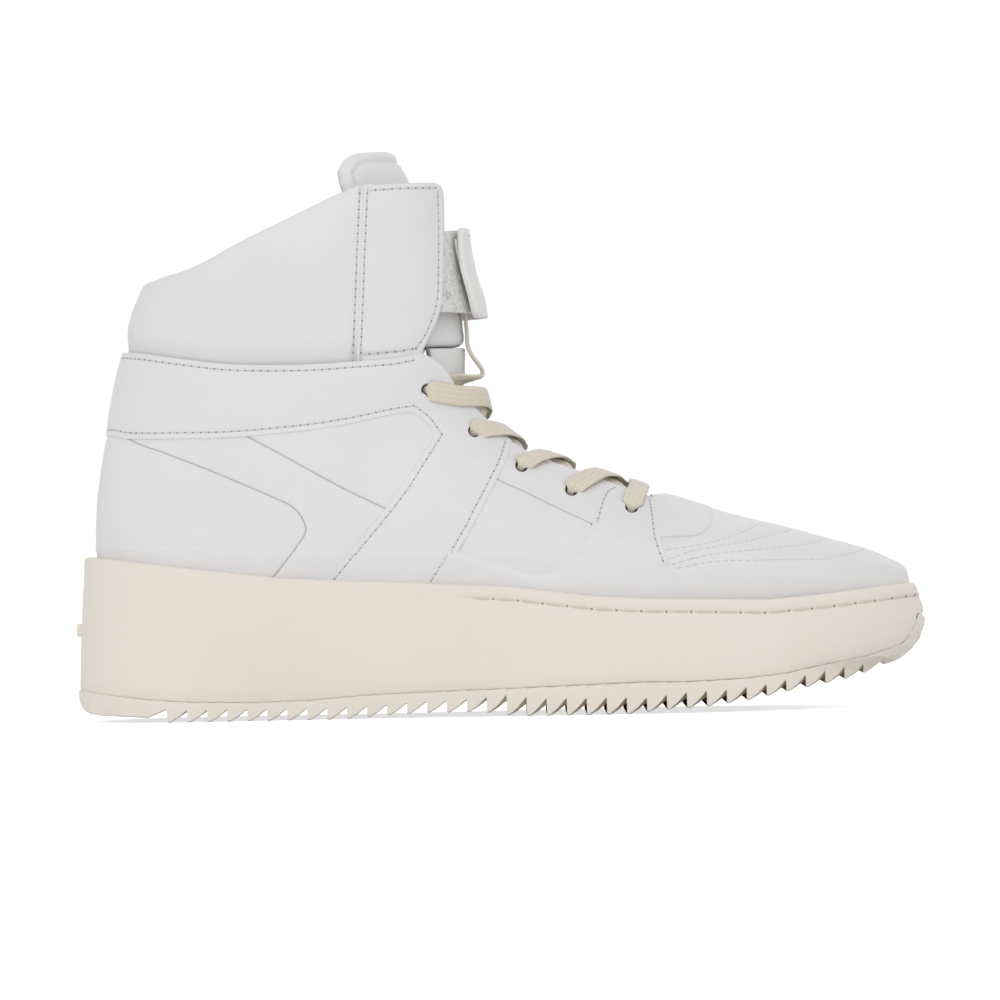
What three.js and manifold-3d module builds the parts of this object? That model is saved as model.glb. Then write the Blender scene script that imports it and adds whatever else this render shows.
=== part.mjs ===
// Basketball high top, right foot, EU 42-43, built as the separate pieces of a lasted shoe.
// Units are millimetres. +X points to the toe, +Z up, -Y to the lateral side (outside of the foot).
// The origin lies on the ground, under the middle of the sole.
import * as THREE from 'three';
import { mergeVertices } from 'three/addons/utils/BufferGeometryUtils.js';
import Module from 'manifold-3d';

const wasm = await Module();
wasm.setup();

// ---- Driving dimensions ---------------------------------------------------------------------

const GAP = 0.3;              // clearance between pieces that touch
const SEAM_GAP = 0.4;         // width of the slit between two panels of the same layer
const LEATHER = 1.4;
const FACING = [1.7, 2.5];    // depth of the reinforcements under the leather
const LINING = [2.8, 3.8];    // depth of the textile lining
const COLLAR_FOAM = [1.7, 7.9];
const COLLAR_LINING = [8.2, 9.2];
const FLAP_LINING = [3.4, 4.4];
const LOOP_TAB = [1.7, 3.1];
const HOOK_PATCH = [-0.1, 1.3];
const STRAP = [-2.4, -0.4];
const VAMP_TAB = [-1.2, -GAP];
const TONGUE_CLEARANCE = 7; // depth of the tongue under the eyestays, with room for the lace

const REACH = 90;             // half of the space across Y that every cutter spans
const RING_STEPS = 32;        // points round the upper
const LEVELS = [0, 1, 2, 3.2, 4.5, 5.7, 6.6, 7.3, 8, 9, 10.3, 12];

const MIDDLE_Y = -2.73;       // Y of the middle of the heel, which puts the origin in mid-width
const TOE_SWING = 6;          // how far the toe leans to the medial side
const SOLE_TOP_OVERHANG = 4.6;
const SOLE_BASE_OVERHANG = 7.2;
const BOARD = 2;
const SOCKLINER = 4;

const TREAD = { pitch: 7.1, depth: 3.8, land: 1.0, rise: 4.3, first: -119.3, last: 131 };

const EYELET_RADIUS = 2.6;
const EYELETS = [[-24.8, 116.7], [-8.4, 101.6], [8.4, 89], [26, 80.1], [47.3, 73.3]];
const CROWN_LEVELS = [8.9, 7.95, 6.95, 6, 5.1]; // ring that each row of eyelets meets in the middle

const HEEL_NUB = { size: [4, 8, 5], centre: [-151, MIDDLE_Y, 33] };
const SHANK = { length: [-75, 25], halfWidth: 9, thickness: 1.6 };

const TONGUE = {
  halfWidth: [[0, 19], [0.3, 25], [0.6, 22.5], [1, 25]],
  wrap: [[0, 4], [0.3, 8], [0.6, 13], [0.75, 16], [1, 18]],
  split: [0.6, 0.62],       // the flexing top starts here, as a share of the tongue's length
  padStart: 0.64,
  steps: 8,
};
const STRAP_ENDS = { medial: -44, lateral: -12 };
const STRAP_HEIGHT = [143, 175];
const LOOP_TAB_EDGE = -13.7;  // Y at which the loop tab ends, clear of the tongue

const LACE = { halfWidth: 2.9, holeHalfWidth: 1.5, halfThickness: 0.6 };
const AGLET = { radius: 1.3, length: 18 };
// Rows of [place, depth, lift of the upper strand]. The place is 1 at the lower hole, 0.5 at the edge
// of the throat, 0 in the middle and -1 at the hole above it on the other side.
const LACE_CROSSING = [[1, 2.6, 0], [0.99, 4.7, 0], [0.9, 5.2, 0], [0.7, 5.3, 0], [0.53, 5.2, 0],
  [0.44, 5.1, 0.1], [0.35, 2.4, 2.9], [0.2, 1.2, 2.1], [0, 0.6, 1.8], [-0.2, 0.4, 1.9], [-0.34, 0, 1.7],
  [-0.44, -1.6, 0.3], [-0.56, -2, 0], [-0.7, -1.9, 0], [-0.85, -1.9, 0], [-0.97, -1.2, 0],
  [-1, 0.3, 0]];
const LACE_BAR = [[1, 0.3, 0], [0.97, -1.2, 0], [0.85, -1.8, 0], [0.6, -1.9, 0], [0.3, -1.9, 0],
  [0, -1.7, 0], [-0.3, -1.9, 0], [-0.6, -1.9, 0], [-0.85, -1.8, 0], [-0.97, -1.2, 0], [-1, 0.3, 0]];
// Rows of [share of the way out to the top hole, rise in rings, depth, turn]: the turn brings the
// flat of the lace from along the instep to across it.
const LACE_END = [[1, 0, 2.6, 0], [0.99, 0, 4.7, 0], [0.92, 0.03, 5, 0], [0.75, 0.12, 5, 0.1],
  [0.55, 0.25, 5.1, 0.4], [0.38, 0.32, 3.6, 0.7], [0.24, 0.36, 1, 0.9], [0.17, 0.4, -0.8, 1],
  [0.14, 0.5, -1, 1], [0.13, 0.62, 0.4, 1], [0.13, 0.75, 2.4, 1], [0.13, 0.9, 4, 1],
  [0.13, 1.15, 4.4, 1], [0.14, 1.5, 4.4, 1]];

// ---- Lines of the side view, as [x, z] ------------------------------------------------------

// Rings of the upper, from the cavity floor of the sole to above the collar. Each one is a flat
// section through a point of the heel line and a point of the front line.
const RINGS = [
  { heel: [-141.5, 20], front: [141, 14], lean: 2.5, heelRadius: 40, frontRadius: 85, power: 2.3 },
  { heel: [-144.9, 58], front: [147.4, 45], lean: 0, heelRadius: 40, frontRadius: 86, power: 2.3 },
  { heel: [-145, 64], front: [138, 54.2], lean: 0.3, heelRadius: 40, frontRadius: 98, power: 2.25 },
  { heel: [-144.7, 71], front: [110, 63], lean: 1, heelRadius: 39, frontRadius: 115, power: 2.15 },
  { heel: [-144.1, 79.8], front: [76, 72.2], lean: 2, heelRadius: 38, frontRadius: 112, power: 2.05 },
  { heel: [-142.9, 88], front: [52.5, 79.8], lean: 3, heelRadius: 37, frontRadius: 98, power: 2 },
  { heel: [-141.3, 97], front: [31, 88], lean: 4, heelRadius: 36, frontRadius: 80, power: 2 },
  { heel: [-139.5, 107], front: [12.5, 95.2], lean: 5, heelRadius: 35, frontRadius: 66, power: 2 },
  { heel: [-137, 119], front: [-1.5, 106.5], lean: 5.5, heelRadius: 34, frontRadius: 50, power: 2 },
  { heel: [-134.1, 131.5], front: [-5.5, 122], lean: 5, heelRadius: 34, frontRadius: 38, power: 2 },
  { heel: [-130.6, 146], front: [-6, 144], lean: 3.5, heelRadius: 34, frontRadius: 33, power: 2 },
  { heel: [-125.2, 162], front: [-10.8, 170], lean: 1, heelRadius: 35, frontRadius: 31, power: 2 },
  { heel: [-121, 180], front: [-11, 205], lean: 0, heelRadius: 36, frontRadius: 31, power: 2 },
];
const TOP_RING = RINGS.length - 1;
const FEATHER_RING = 1;

// Half of the width of the upper at the feather line, as [x, half width].
const HALF_WIDTHS = [[-145, 36], [-110, 36.5], [-60, 35], [-20, 37.5], [20, 43.5], [55, 48.5], [90, 48],
  [147, 46]];

const COLLAR_TOP = [[-150, 150], [-126.4, 155.8], [-124.2, 157.6], [-109.7, 161.6], [-98.8, 166.5],
  [-87.8, 172], [-76.9, 176.8], [-66, 182.8], [-55.1, 188], [-46.4, 190.2]];
const FLAP_FRONT = [[-19.5, 190.7], [-17.7, 188.5], [-17.7, 175.9], [-18.1, 161], [-18.7, 148.6],
  [-20.4, 141.8], [-23.7, 135], [-26.6, 130]];
const FLAP_SEAM = [[-46.4, 190.2], [-47.8, 164.7], [-49.3, 139.9], [-50.1, 127.5]];
const COLLAR_SEAM = [[-150, 133.4], [-132, 132.4], [-115, 129.9], [-97.6, 127.5], [-80.2, 126.7],
  [-62.7, 126.8], [-50.1, 127.5], [-36.4, 128.4], [-26.6, 130]];
const BAND_LOWER = [[-150, 102.8], [-131.3, 101.1], [-115.6, 100.9], [-88.5, 101.2], [-63.1, 103.5],
  [-50, 105.5], [-38, 108.2], [-30.5, 108.8], [-26.5, 105.8], [-22.7, 100.2]];
const STRIPE_REAR = [[-22.7, 100.2], [-27.6, 92.6], [-40.5, 74.7], [-53.6, 59.6], [-61.2, 51], [-72, 38]];
const STRIPE_FRONT = [[9, 108], [5, 97.4], [0.4, 86], [-5.7, 74.4], [-14.1, 59.8], [-22.4, 47.9],
  [-30, 37]];
const HEEL_PANEL_EDGE = [[-131.3, 101.1], [-107.1, 91.3], [-81.1, 79.8], [-73.3, 75.7], [-69.5, 70.4],
  [-69.1, 66.9], [-72.7, 61.3], [-80.4, 51.4], [-92, 37]];
const QUARTER_EDGE = [[-88.5, 101.2], [-75.5, 93.7], [-54.8, 81.9], [-40.5, 74.7]];
const EYESTAY_LOWER = [[0.4, 86], [8.4, 80.3], [19.4, 74.6], [33.2, 68]];
const WING_REAR = [[48, 90], [44, 80.2], [40.1, 79.9], [37.4, 78.8], [36.2, 76.2], [33.2, 68]];
const WING_LOWER = [[33.2, 68], [28.7, 60.4], [24.1, 54.3], [18.9, 50.7], [8.9, 50.9], [-14.1, 59.8]];
const WING_FRONT = [[55, 84], [56.1, 74.6], [57, 62.8], [59.4, 53.9], [64, 40], [66, 20]];
const THROAT_EDGE = [[-26.6, 130], [-22, 127.5], [-18.1, 123.4], [-14.5, 117.5], [-10, 112.2],
  [-5, 106.6], [0, 101.6], [5, 97.4], [14.5, 91.8], [24, 88.4], [33, 85], [44.5, 80.7], [55.6, 76]];

const BOARD_LINE = [[-160, 37], [-60, 37], [-10, 29], [35, 24], [95, 24], [160, 32]];
const CAVITY_FLOOR = [[-160, 20], [-60, 16], [100, 17], [160, 28]];
const SOLE_TOP = [[-160, 60.3], [-133.8, 57.6], [-96.6, 53], [-59.9, 49.5], [-29, 48], [3.6, 46.1],
  [33.7, 42.1], [52.1, 41], [94.3, 39.5], [131.2, 42.8], [149.2, 44.4]];
const SOLE_TOE = [[150.2, 42.2], [152.1, 34.9], [153.1, 31.3], [150.8, 24.1], [147.8, 20.6],
  [143.4, 17.1], [133.2, 13.4]];
const OUTSOLE_TOP = [[-160, 12.3], [-151.7, 11.2], [-126.5, 8.2], [-89.3, 6.5], [-68.6, 6.9],
  [-29.8, 9], [29.4, 10.7], [86.4, 11.9], [101.2, 13.3], [115.9, 16.3], [130.7, 18.6], [143.3, 22.4],
  [147, 26], [149, 31.1], [150.4, 34.6]];
const TREAD_TIPS = [[-126, 0.8], [-119, 0], [-60, 0], [-30, 1.8], [-8, 1.8], [4, 0], [45, 0],
  [55, 1.3], [71, 2.1], [85, 3.8], [102, 7.1], [121, 10.3], [134, 13.6]];
const HEEL_BLOCK = [[-126.2, 1.8], [-143.5, 2.6], [-150, 4.1], [-152.4, 8], [-160, 9]];

// Middle of the front face of the tongue, from its root under the vamp to its top edge.
const TONGUE_FRONT = [[58, 69.5], [44, 75.8], [28.5, 81.3], [10, 89.6], [-5.5, 101.5], [-11.2, 114],
  [-11, 125], [-11, 135], [-14, 147], [-19, 160], [-26.5, 180], [-35.3, 204]];

// ---- Plain geometry helpers -----------------------------------------------------------------

const reversed = (line) => [...line].reverse();

// Value at x of the smooth line through points given as [x, value].
function valueAt(points, x) {
  const last = points.length - 1;
  let i = 0;
  while (i < last - 1 && x > points[i + 1][0]) i += 1;
  const slope = (a, b) => (points[b][1] - points[a][1]) / (points[b][0] - points[a][0]);
  const span = points[i + 1][0] - points[i][0];
  const startSlope = slope(Math.max(i - 1, 0), i + 1);
  const endSlope = slope(i, Math.min(i + 2, last));
  const t = THREE.MathUtils.clamp((x - points[i][0]) / span, 0, 1);
  const blend = t * t * (3 - 2 * t);
  return points[i][1] * (1 - blend) + points[i + 1][1] * blend
    + span * t * (1 - t) * ((1 - t) * startSlope - t * endSlope);
}

// Value at x of the broken line through points given as [x, value].
function straightValueAt(points, x) {
  let i = 0;
  while (i < points.length - 2 && x > points[i + 1][0]) i += 1;
  const [x0, v0] = points[i];
  const [x1, v1] = points[i + 1];
  return v0 + (v1 - v0) * (x - x0) / (x1 - x0);
}

// 1 away from an end of the shoe, falling to 0 at the end along a rounded outline.
function roundedEnd(distance, radius, power) {
  const q = Math.max(1 - distance / radius, 0);
  return Math.pow(Math.max(1 - Math.pow(q, power), 0), 1 / power);
}

function solidFrom(vertices, triangles) {
  const mesh = new wasm.Mesh({
    numProp: 3,
    vertProperties: new Float32Array(vertices),
    triVerts: new Uint32Array(triangles),
  });
  return new wasm.Manifold(mesh);
}

function solidOf(geometry) {
  const bare = geometry.clone();
  bare.deleteAttribute('normal');
  bare.deleteAttribute('uv');
  const merged = mergeVertices(bare, 1e-4);
  return solidFrom(merged.attributes.position.array, merged.index.array);
}

// Closed body through a stack of rings with equal numbers of points. A hoop joins the last ring to
// the first, and its second half, the inner face, is divided like the outer face. Otherwise rungs
// between point i and point mirror - i close both ends.
function loft(rings, { hoop = false, mirror = 0 } = {}) {
  const count = rings[0].length;
  const vertices = rings.flat().flatMap((point) => [point.x, point.y, point.z]);
  const triangles = [];
  const face = (...corners) => {
    if (new Set(corners).size === 3) triangles.push(...corners);
  };
  const bands = hoop ? rings.length : rings.length - 1;
  for (let k = 0; k < bands; k += 1) {
    const low = k * count;
    const high = ((k + 1) % rings.length) * count;
    const inner = hoop && k >= rings.length / 2;
    for (let i = 0; i < count; i += 1) {
      const j = (i + 1) % count;
      face(low + i, high + i, inner ? low + j : high + j);
      face(inner ? high + i : low + i, high + j, low + j);
    }
  }
  const rungs = hoop ? 0 : Math.floor((count + mirror) / 2);
  const top = (rings.length - 1) * count;
  const across = (i) => (mirror - i + 2 * count) % count;
  for (let i = 0; i < rungs; i += 1) {
    const [a, b, c, d] = [i, i + 1, across(i + 1), across(i)];
    face(a, b, c);
    face(a, c, d);
    face(top + a, top + c, top + b);
    face(top + a, top + d, top + c);
  }
  return solidFrom(vertices, triangles);
}

// Solid between two Y planes whose outline in the side view is the given line of [x, z] points.
function sidePrism(outline, fromY = -REACH, toY = REACH) {
  const shape = new THREE.Shape(outline.map(([x, z]) => new THREE.Vector2(x, z)));
  const geometry = new THREE.ExtrudeGeometry(shape, { depth: toY - fromY, bevelEnabled: false });
  geometry.rotateX(Math.PI / 2);
  geometry.translate(0, toY, 0);
  return solidOf(geometry);
}

// Thin slit that follows a seam line through the whole width of the shoe.
function seamBlade(line) {
  const half = SEAM_GAP / 2;
  const offsets = line.map(([x, z], i) => {
    const [ax, az] = line[Math.max(i - 1, 0)];
    const [bx, bz] = line[Math.min(i + 1, line.length - 1)];
    const length = Math.hypot(bx - ax, bz - az);
    return [-(bz - az) / length * half, (bx - ax) / length * half];
  });
  const left = line.map(([x, z], i) => [x + offsets[i][0], z + offsets[i][1]]);
  const right = line.map(([x, z], i) => [x - offsets[i][0], z - offsets[i][1]]);
  return sidePrism([...left, ...right.reverse()]);
}

// ---- Surface of the upper -------------------------------------------------------------------

const heelLine = new THREE.SplineCurve(RINGS.map((ring) => new THREE.Vector2(...ring.heel)));
const frontLine = new THREE.SplineCurve(RINGS.map((ring) => new THREE.Vector2(...ring.front)));
const ringValues = (key) => RINGS.map((ring, i) => [i, ring[key]]);
const LEAN = ringValues('lean');
const HEEL_RADIUS = ringValues('heelRadius');
const FRONT_RADIUS = ringValues('frontRadius');
const POWER = ringValues('power');

// Y of the middle of the shoe at x: the toe swings to the medial side.
function middleY(x) {
  return MIDDLE_Y + TOE_SWING * THREE.MathUtils.smoothstep(x, -20, 147);
}

// Point of the upper. around runs from -1 (front) along the lateral side to 0 (heel) and along the
// medial side to 1 (front again); level counts the rings.
function upperPoint(around, level) {
  const turn = around > 1 ? around - 2 : around < -1 ? around + 2 : around;
  const along = (1 - Math.cos(Math.PI * Math.abs(turn))) / 2;
  const heel = heelLine.getPoint(level / TOP_RING);
  const front = frontLine.getPoint(level / TOP_RING);
  const length = heel.distanceTo(front);
  const x = heel.x + (front.x - heel.x) * along;
  const z = heel.y + (front.y - heel.y) * along;
  const half = (valueAt(HALF_WIDTHS, x) - valueAt(LEAN, level))
    * roundedEnd(along * length, valueAt(HEEL_RADIUS, level), 2.1)
    * roundedEnd((1 - along) * length, valueAt(FRONT_RADIUS, level), valueAt(POWER, level));
  return new THREE.Vector3(x, middleY(x) + Math.sign(turn) * half, z);
}

function upperNormal(around, level) {
  const step = 0.01;
  const low = Math.max(level - 0.05, 0);
  const high = Math.min(level + 0.05, TOP_RING);
  const up = upperPoint(around, high).sub(upperPoint(around, low));
  const round = upperPoint(around + step, level).sub(upperPoint(around - step, level));
  return up.cross(round).normalize();
}

// Point at a depth below the outer face of the leather; negative depths lie outside it.
function pointAtDepth(around, level, depth) {
  return upperPoint(around, level).addScaledVector(upperNormal(around, level), -depth);
}

function upperRing(level, depth) {
  return Array.from({ length: RING_STEPS }, (_, i) => pointAtDepth(-1 + 2 * i / RING_STEPS, level, depth));
}

// Layer of the upper between two depths, all round and from the sole to above the collar.
function layer([outerDepth, innerDepth]) {
  const outer = LEVELS.map((level) => upperRing(level, outerDepth));
  const inner = LEVELS.map((level) => upperRing(level, innerDepth)).reverse();
  return loft([...outer, ...inner], { hoop: true });
}

// Everything inside the upper below a depth.
function inside(depth) {
  return loft(LEVELS.map((level) => upperRing(level, depth)));
}

// Ring and place round it of the point of the upper that the side view shows at x, z.
function locate(x, z, side) {
  let low = 0;
  let high = TOP_RING;
  let along = 0;
  for (let i = 0; i < 40; i += 1) {
    const level = (low + high) / 2;
    const heel = heelLine.getPoint(level / TOP_RING);
    const chord = frontLine.getPoint(level / TOP_RING).sub(heel);
    const offset = new THREE.Vector2(x, z).sub(heel);
    along = offset.dot(chord) / chord.lengthSq();
    if (chord.cross(offset) > 0) low = level;
    else high = level;
  }
  return { around: side * Math.acos(1 - 2 * along) / Math.PI, level: low };
}

// ---- Cut-outs shared by several pieces ------------------------------------------------------

const SIDES = { lateral: -1, medial: 1 };

const seamBlades = [COLLAR_SEAM, FLAP_SEAM, BAND_LOWER, STRIPE_REAR, STRIPE_FRONT, HEEL_PANEL_EDGE,
  QUARTER_EDGE, EYESTAY_LOWER, WING_REAR, WING_LOWER, WING_FRONT]
  .map(seamBlade).reduce((all, blade) => all.add(blade));

function eyeletHole([x, z], side) {
  const { around, level } = locate(x, z, side);
  const geometry = new THREE.CylinderGeometry(EYELET_RADIUS, EYELET_RADIUS, 14, 8);
  const cylinderAxis = new THREE.Vector3(0, 1, 0);
  const turn = new THREE.Quaternion().setFromUnitVectors(cylinderAxis, upperNormal(around, level));
  geometry.applyQuaternion(turn);
  geometry.translate(...upperPoint(around, level));
  return solidOf(geometry);
}

const eyeletHoles = Object.values(SIDES)
  .flatMap((side) => EYELETS.map((eyelet) => eyeletHole(eyelet, side)))
  .reduce((all, hole) => all.add(hole));

// Places across the throat are counted from the middle of the front, as a share of half a ring,
// and are negative on the lateral side.
function throatPoint(offset, level, depth) {
  return pointAtDepth(offset < 0 ? -1 - offset : 1 - offset, level, depth);
}

const throatEdge = THROAT_EDGE.map(([x, z]) => locate(x, z, SIDES.medial))
  .map(({ around, level }) => [level, 1 - around]).reverse();

// The open throat between the eyestays, cut square to the leather through every layer.
const throat = loft(throatEdge.map(([level, edge]) => {
  const across = [edge, 0, -edge];
  return [
    ...across.map((offset) => throatPoint(offset, level, -8)),
    ...reversed(across).map((offset) => throatPoint(offset, level, 9)),
  ];
}), { mirror: -1 });

// The part of an outline's prism that lies on one side of the shoe, or on both.
function sideCutter(outline, side) {
  const clear = SEAM_GAP / 2;
  if (side === SIDES.lateral) return sidePrism(outline, -REACH, -clear);
  if (side === SIDES.medial) return sidePrism(outline, clear, REACH);
  return sidePrism(outline);
}

// ---- Materials and pieces -------------------------------------------------------------------

const finish = (color, roughness, metalness = 0) => new THREE.MeshStandardMaterial({
  color, roughness, metalness,
});
const MATERIALS = {
  leather: finish(0xe2e1e2, 0.45),
  strapLeather: finish(0xdad8d5, 0.5),
  rubber: finish(0xe6e0d2, 0.6),
  foam: finish(0xd9d5c8, 0.9),
  textile: finish(0xdedcd8, 0.85),
  board: finish(0xb9ab92, 0.8),
  stiffener: finish(0xcfc8ba, 0.7),
  steel: finish(0x9a9c9f, 0.35, 1),
  hook: finish(0xd2cfc9, 0.8),
  cotton: finish(0xe6dfcd, 0.9),
  tip: finish(0xd8d4c4, 0.4),
};

const part = new THREE.Group();
part.name = 'basketball_high_top';

function addPiece(name, solid, material) {
  const result = solid.getMesh();
  const geometry = new THREE.BufferGeometry();
  geometry.setAttribute('position', new THREE.BufferAttribute(new Float32Array(result.vertProperties), 3));
  geometry.setIndex(new THREE.BufferAttribute(new Uint32Array(result.triVerts), 1));
  geometry.computeVertexNormals();
  const mesh = new THREE.Mesh(geometry, material);
  mesh.name = name;
  part.add(mesh);
}

// The same outline cut from a layer on the lateral and on the medial side.
function addPair(name, solid, outline, material) {
  for (const [sideName, side] of Object.entries(SIDES)) {
    addPiece(`${name}_${sideName}`, solid.intersect(sideCutter(outline, side)), material);
  }
}

// ---- Sole -----------------------------------------------------------------------------------

// Flat ring of the sole wall: the feather line of the upper, moved outwards.
function soleRing(overhang, z) {
  return Array.from({ length: RING_STEPS }, (_, i) => {
    const around = -1 + 2 * i / RING_STEPS;
    const outward = upperNormal(around, FEATHER_RING).setZ(0).normalize();
    return upperPoint(around, FEATHER_RING).addScaledVector(outward, overhang).setZ(z);
  });
}

// Stretch of the board line between two places, raised by a height.
function boardLine(fromX, toX, height = 0) {
  const ends = [fromX, toX].map((x) => [x, straightValueAt(BOARD_LINE, x)]);
  const middle = BOARD_LINE.filter(([x]) => x > fromX && x < toX);
  return [ends[0], ...middle, ends[1]].map(([x, z]) => [x, z + height]);
}

function boardSlab([fromX, toX], [bottom, top], halfWidth = REACH) {
  const outline = [...boardLine(fromX, toX, bottom), ...boardLine(fromX, toX, top).reverse()];
  return sidePrism(outline, MIDDLE_Y - halfWidth, MIDDLE_Y + halfWidth);
}

// Saw teeth across the whole tread: steep towards the heel, sloping up towards the toe.
function treadOutline() {
  const outline = [];
  for (let x = TREAD.first; x < TREAD.last; x += TREAD.pitch) {
    const tip = straightValueAt(TREAD_TIPS, x);
    outline.push([x, tip], [x + TREAD.land, tip], [x + TREAD.land + TREAD.rise, tip + TREAD.depth]);
  }
  return outline;
}

const soleBlock = loft([
  soleRing(SOLE_BASE_OVERHANG, -1),
  soleRing(SOLE_BASE_OVERHANG, 12),
  soleRing(SOLE_TOP_OVERHANG, 61),
]);
const soleLength = [-160, 160];

const outsole = soleBlock.intersect(sidePrism([
  ...OUTSOLE_TOP.map(([x, z]) => [x + GAP, z - GAP]), ...SOLE_TOE.slice(2),
  ...treadOutline().reverse(), ...HEEL_BLOCK,
]));
addPiece('outsole', outsole, MATERIALS.rubber);

const nub = new THREE.BoxGeometry(...HEEL_NUB.size).translate(...HEEL_NUB.centre);
const cupsole = soleBlock.add(solidOf(nub))
  .intersect(sidePrism([...OUTSOLE_TOP, ...reversed(SOLE_TOE.slice(0, 2)), ...reversed(SOLE_TOP)]))
  .subtract(inside(-GAP).intersect(sidePrism([...CAVITY_FLOOR, [160, 80], [-160, 80]])));
addPiece('cupsole', cupsole, MATERIALS.rubber);

const midsole = inside(GAP)
  .intersect(sidePrism([
    ...CAVITY_FLOOR.map(([x, z]) => [x, z + GAP]), ...boardLine(...soleLength, -GAP).reverse(),
  ]))
  .subtract(boardSlab(SHANK.length, [-SHANK.thickness - 3 * GAP, 0], SHANK.halfWidth + GAP));
addPiece('midsole', midsole, MATERIALS.foam);

const shank = boardSlab([SHANK.length[0] + GAP, SHANK.length[1] - GAP],
  [-SHANK.thickness - 2 * GAP, -2 * GAP], SHANK.halfWidth);
addPiece('shank', shank, MATERIALS.steel);

const insideLining = inside(LINING[1] + GAP);
addPiece('lasting_board', insideLining.intersect(boardSlab(soleLength, [0, BOARD])), MATERIALS.board);
addPiece('sockliner', insideLining.intersect(
  boardSlab(soleLength, [BOARD + GAP, BOARD + GAP + SOCKLINER])), MATERIALS.textile);

// ---- Leather panels -------------------------------------------------------------------------

const leather = layer([0, LEATHER]).subtract(seamBlades).subtract(eyeletHoles).subtract(throat);

const heelOutline = [[-150, 37], ...reversed(HEEL_PANEL_EDGE), [-150, 102.8]];
addPiece('heel_panel', leather.intersect(sidePrism(heelOutline)), MATERIALS.leather);

const bandOutline = [
  ...BAND_LOWER, ...STRIPE_REAR.slice(1), ...reversed(STRIPE_FRONT),
  ...reversed(THROAT_EDGE.slice(0, 8)), ...reversed(COLLAR_SEAM).slice(1),
];
addPiece('ankle_band', leather.intersect(sidePrism(bandOutline)), MATERIALS.leather);

const middleOutline = [
  ...HEEL_PANEL_EDGE, ...reversed(STRIPE_REAR).slice(0, 4), ...reversed(QUARTER_EDGE).slice(1),
  [-115.6, 100.9],
];
addPair('quarter_middle', leather, middleOutline, MATERIALS.leather);

const quarterOutline = [
  ...QUARTER_EDGE, ...reversed(STRIPE_REAR).slice(4), ...reversed(BAND_LOWER).slice(1, 6),
];
addPair('quarter_upper', leather, quarterOutline, MATERIALS.leather);

const windowOutline = [...EYESTAY_LOWER, ...WING_LOWER.slice(1), [-5.7, 74.4]];
addPair('mid_quarter', leather, windowOutline, MATERIALS.leather);

const eyestayOutline = [
  ...EYESTAY_LOWER, ...reversed(WING_REAR).slice(1, -1), ...reversed(THROAT_EDGE.slice(7, -2)),
];
addPair('front_eyestay', leather, eyestayOutline, MATERIALS.leather);

const wingOutline = [
  ...WING_LOWER, [-22.4, 47.9], ...boardLine(-30, 65.3), ...reversed(WING_FRONT).slice(2, -1),
  ...reversed(THROAT_EDGE).slice(0, 2), ...WING_REAR.slice(1, -1),
];
addPair('wing', leather, wingOutline, MATERIALS.leather);

const vampOutline = [...boardLine(66, 155), [155, 90], [54, 90], ...WING_FRONT.slice(1, -1)];
addPiece('vamp', leather.intersect(sidePrism(vampOutline)), MATERIALS.leather);

const tabOutline = [[57.2, 90], [57.2, 62.4], [69.9, 62.6], [74, 64.6], [75.8, 68], [76.2, 80]];
addPiece('vamp_tab', layer(VAMP_TAB).intersect(sidePrism(tabOutline)), MATERIALS.leather);

// ---- Collar ---------------------------------------------------------------------------------

const collarOutline = [...COLLAR_TOP, ...FLAP_SEAM.slice(1), ...reversed(COLLAR_SEAM.slice(0, 6))];
addPiece('collar_rear', leather.intersect(sidePrism(collarOutline)), MATERIALS.leather);

const flapOutline = [...FLAP_SEAM, ...COLLAR_SEAM.slice(7, -1), ...reversed(FLAP_FRONT)];
addPair('collar_flap', leather, flapOutline, MATERIALS.leather);
addPair('flap_lining', layer(FLAP_LINING).subtract(seamBlades), flapOutline, MATERIALS.textile);

const padOutline = [
  ...COLLAR_TOP.map(([x, z]) => [x, z - 1.5]), [-47.8, 164.7], [-50.1, 131.5], [-62.7, 130.8],
  [-80.2, 130.7], [-97.6, 131.5], [-115, 133.9], [-150, 137],
];
addPiece('collar_foam', layer(COLLAR_FOAM).intersect(sidePrism(padOutline)), MATERIALS.foam);
addPiece('collar_lining', layer(COLLAR_LINING).intersect(sidePrism(padOutline)), MATERIALS.textile);

// ---- Linings and stiffeners -----------------------------------------------------------------

const lining = layer(LINING).subtract(eyeletHoles).subtract(throat);
const facing = layer(FACING).subtract(eyeletHoles).subtract(throat);
const collarBase = reversed(COLLAR_SEAM);

const heelLiningOutline = [...boardLine(-155, -70.2), ...collarBase.slice(4)];
addPiece('heel_lining', lining.intersect(sidePrism(heelLiningOutline)), MATERIALS.textile);

const quarterLiningOutline = [
  ...boardLine(-69.8, 57.8), [57.8, 74.5], ...reversed(THROAT_EDGE), [-36.4, 128], [-50.1, 127],
  [-69.8, 126.4],
];
addPair('quarter_lining', lining, quarterLiningOutline, MATERIALS.textile);

const vampLiningOutline = [...boardLine(58.2, 155), [155, 90], [58.2, 90]];
addPiece('vamp_lining', lining.intersect(sidePrism(vampLiningOutline)), MATERIALS.textile);

const counterOutline = [...boardLine(-155, -76), [-80, 66], [-100, 88], [-120, 96], [-155, 98]];
addPiece('heel_counter', facing.intersect(sidePrism(counterOutline)), MATERIALS.stiffener);

const puffOutline = [...boardLine(104, 155), [155, 80], [104, 80]];
addPiece('toe_puff', facing.intersect(sidePrism(puffOutline)), MATERIALS.stiffener);

const facingOutline = [
  [-31, 127], [-31, 113], [-14, 94], [4, 81], [24, 71], [48, 64], [55, 66],
  ...reversed(THROAT_EDGE).slice(0, -1),
];
addPair('eyelet_facing', facing, facingOutline, MATERIALS.stiffener);

// ---- Tongue ---------------------------------------------------------------------------------

const tongueFront = new THREE.SplineCurve(TONGUE_FRONT.map((point) => new THREE.Vector2(...point)));

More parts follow.
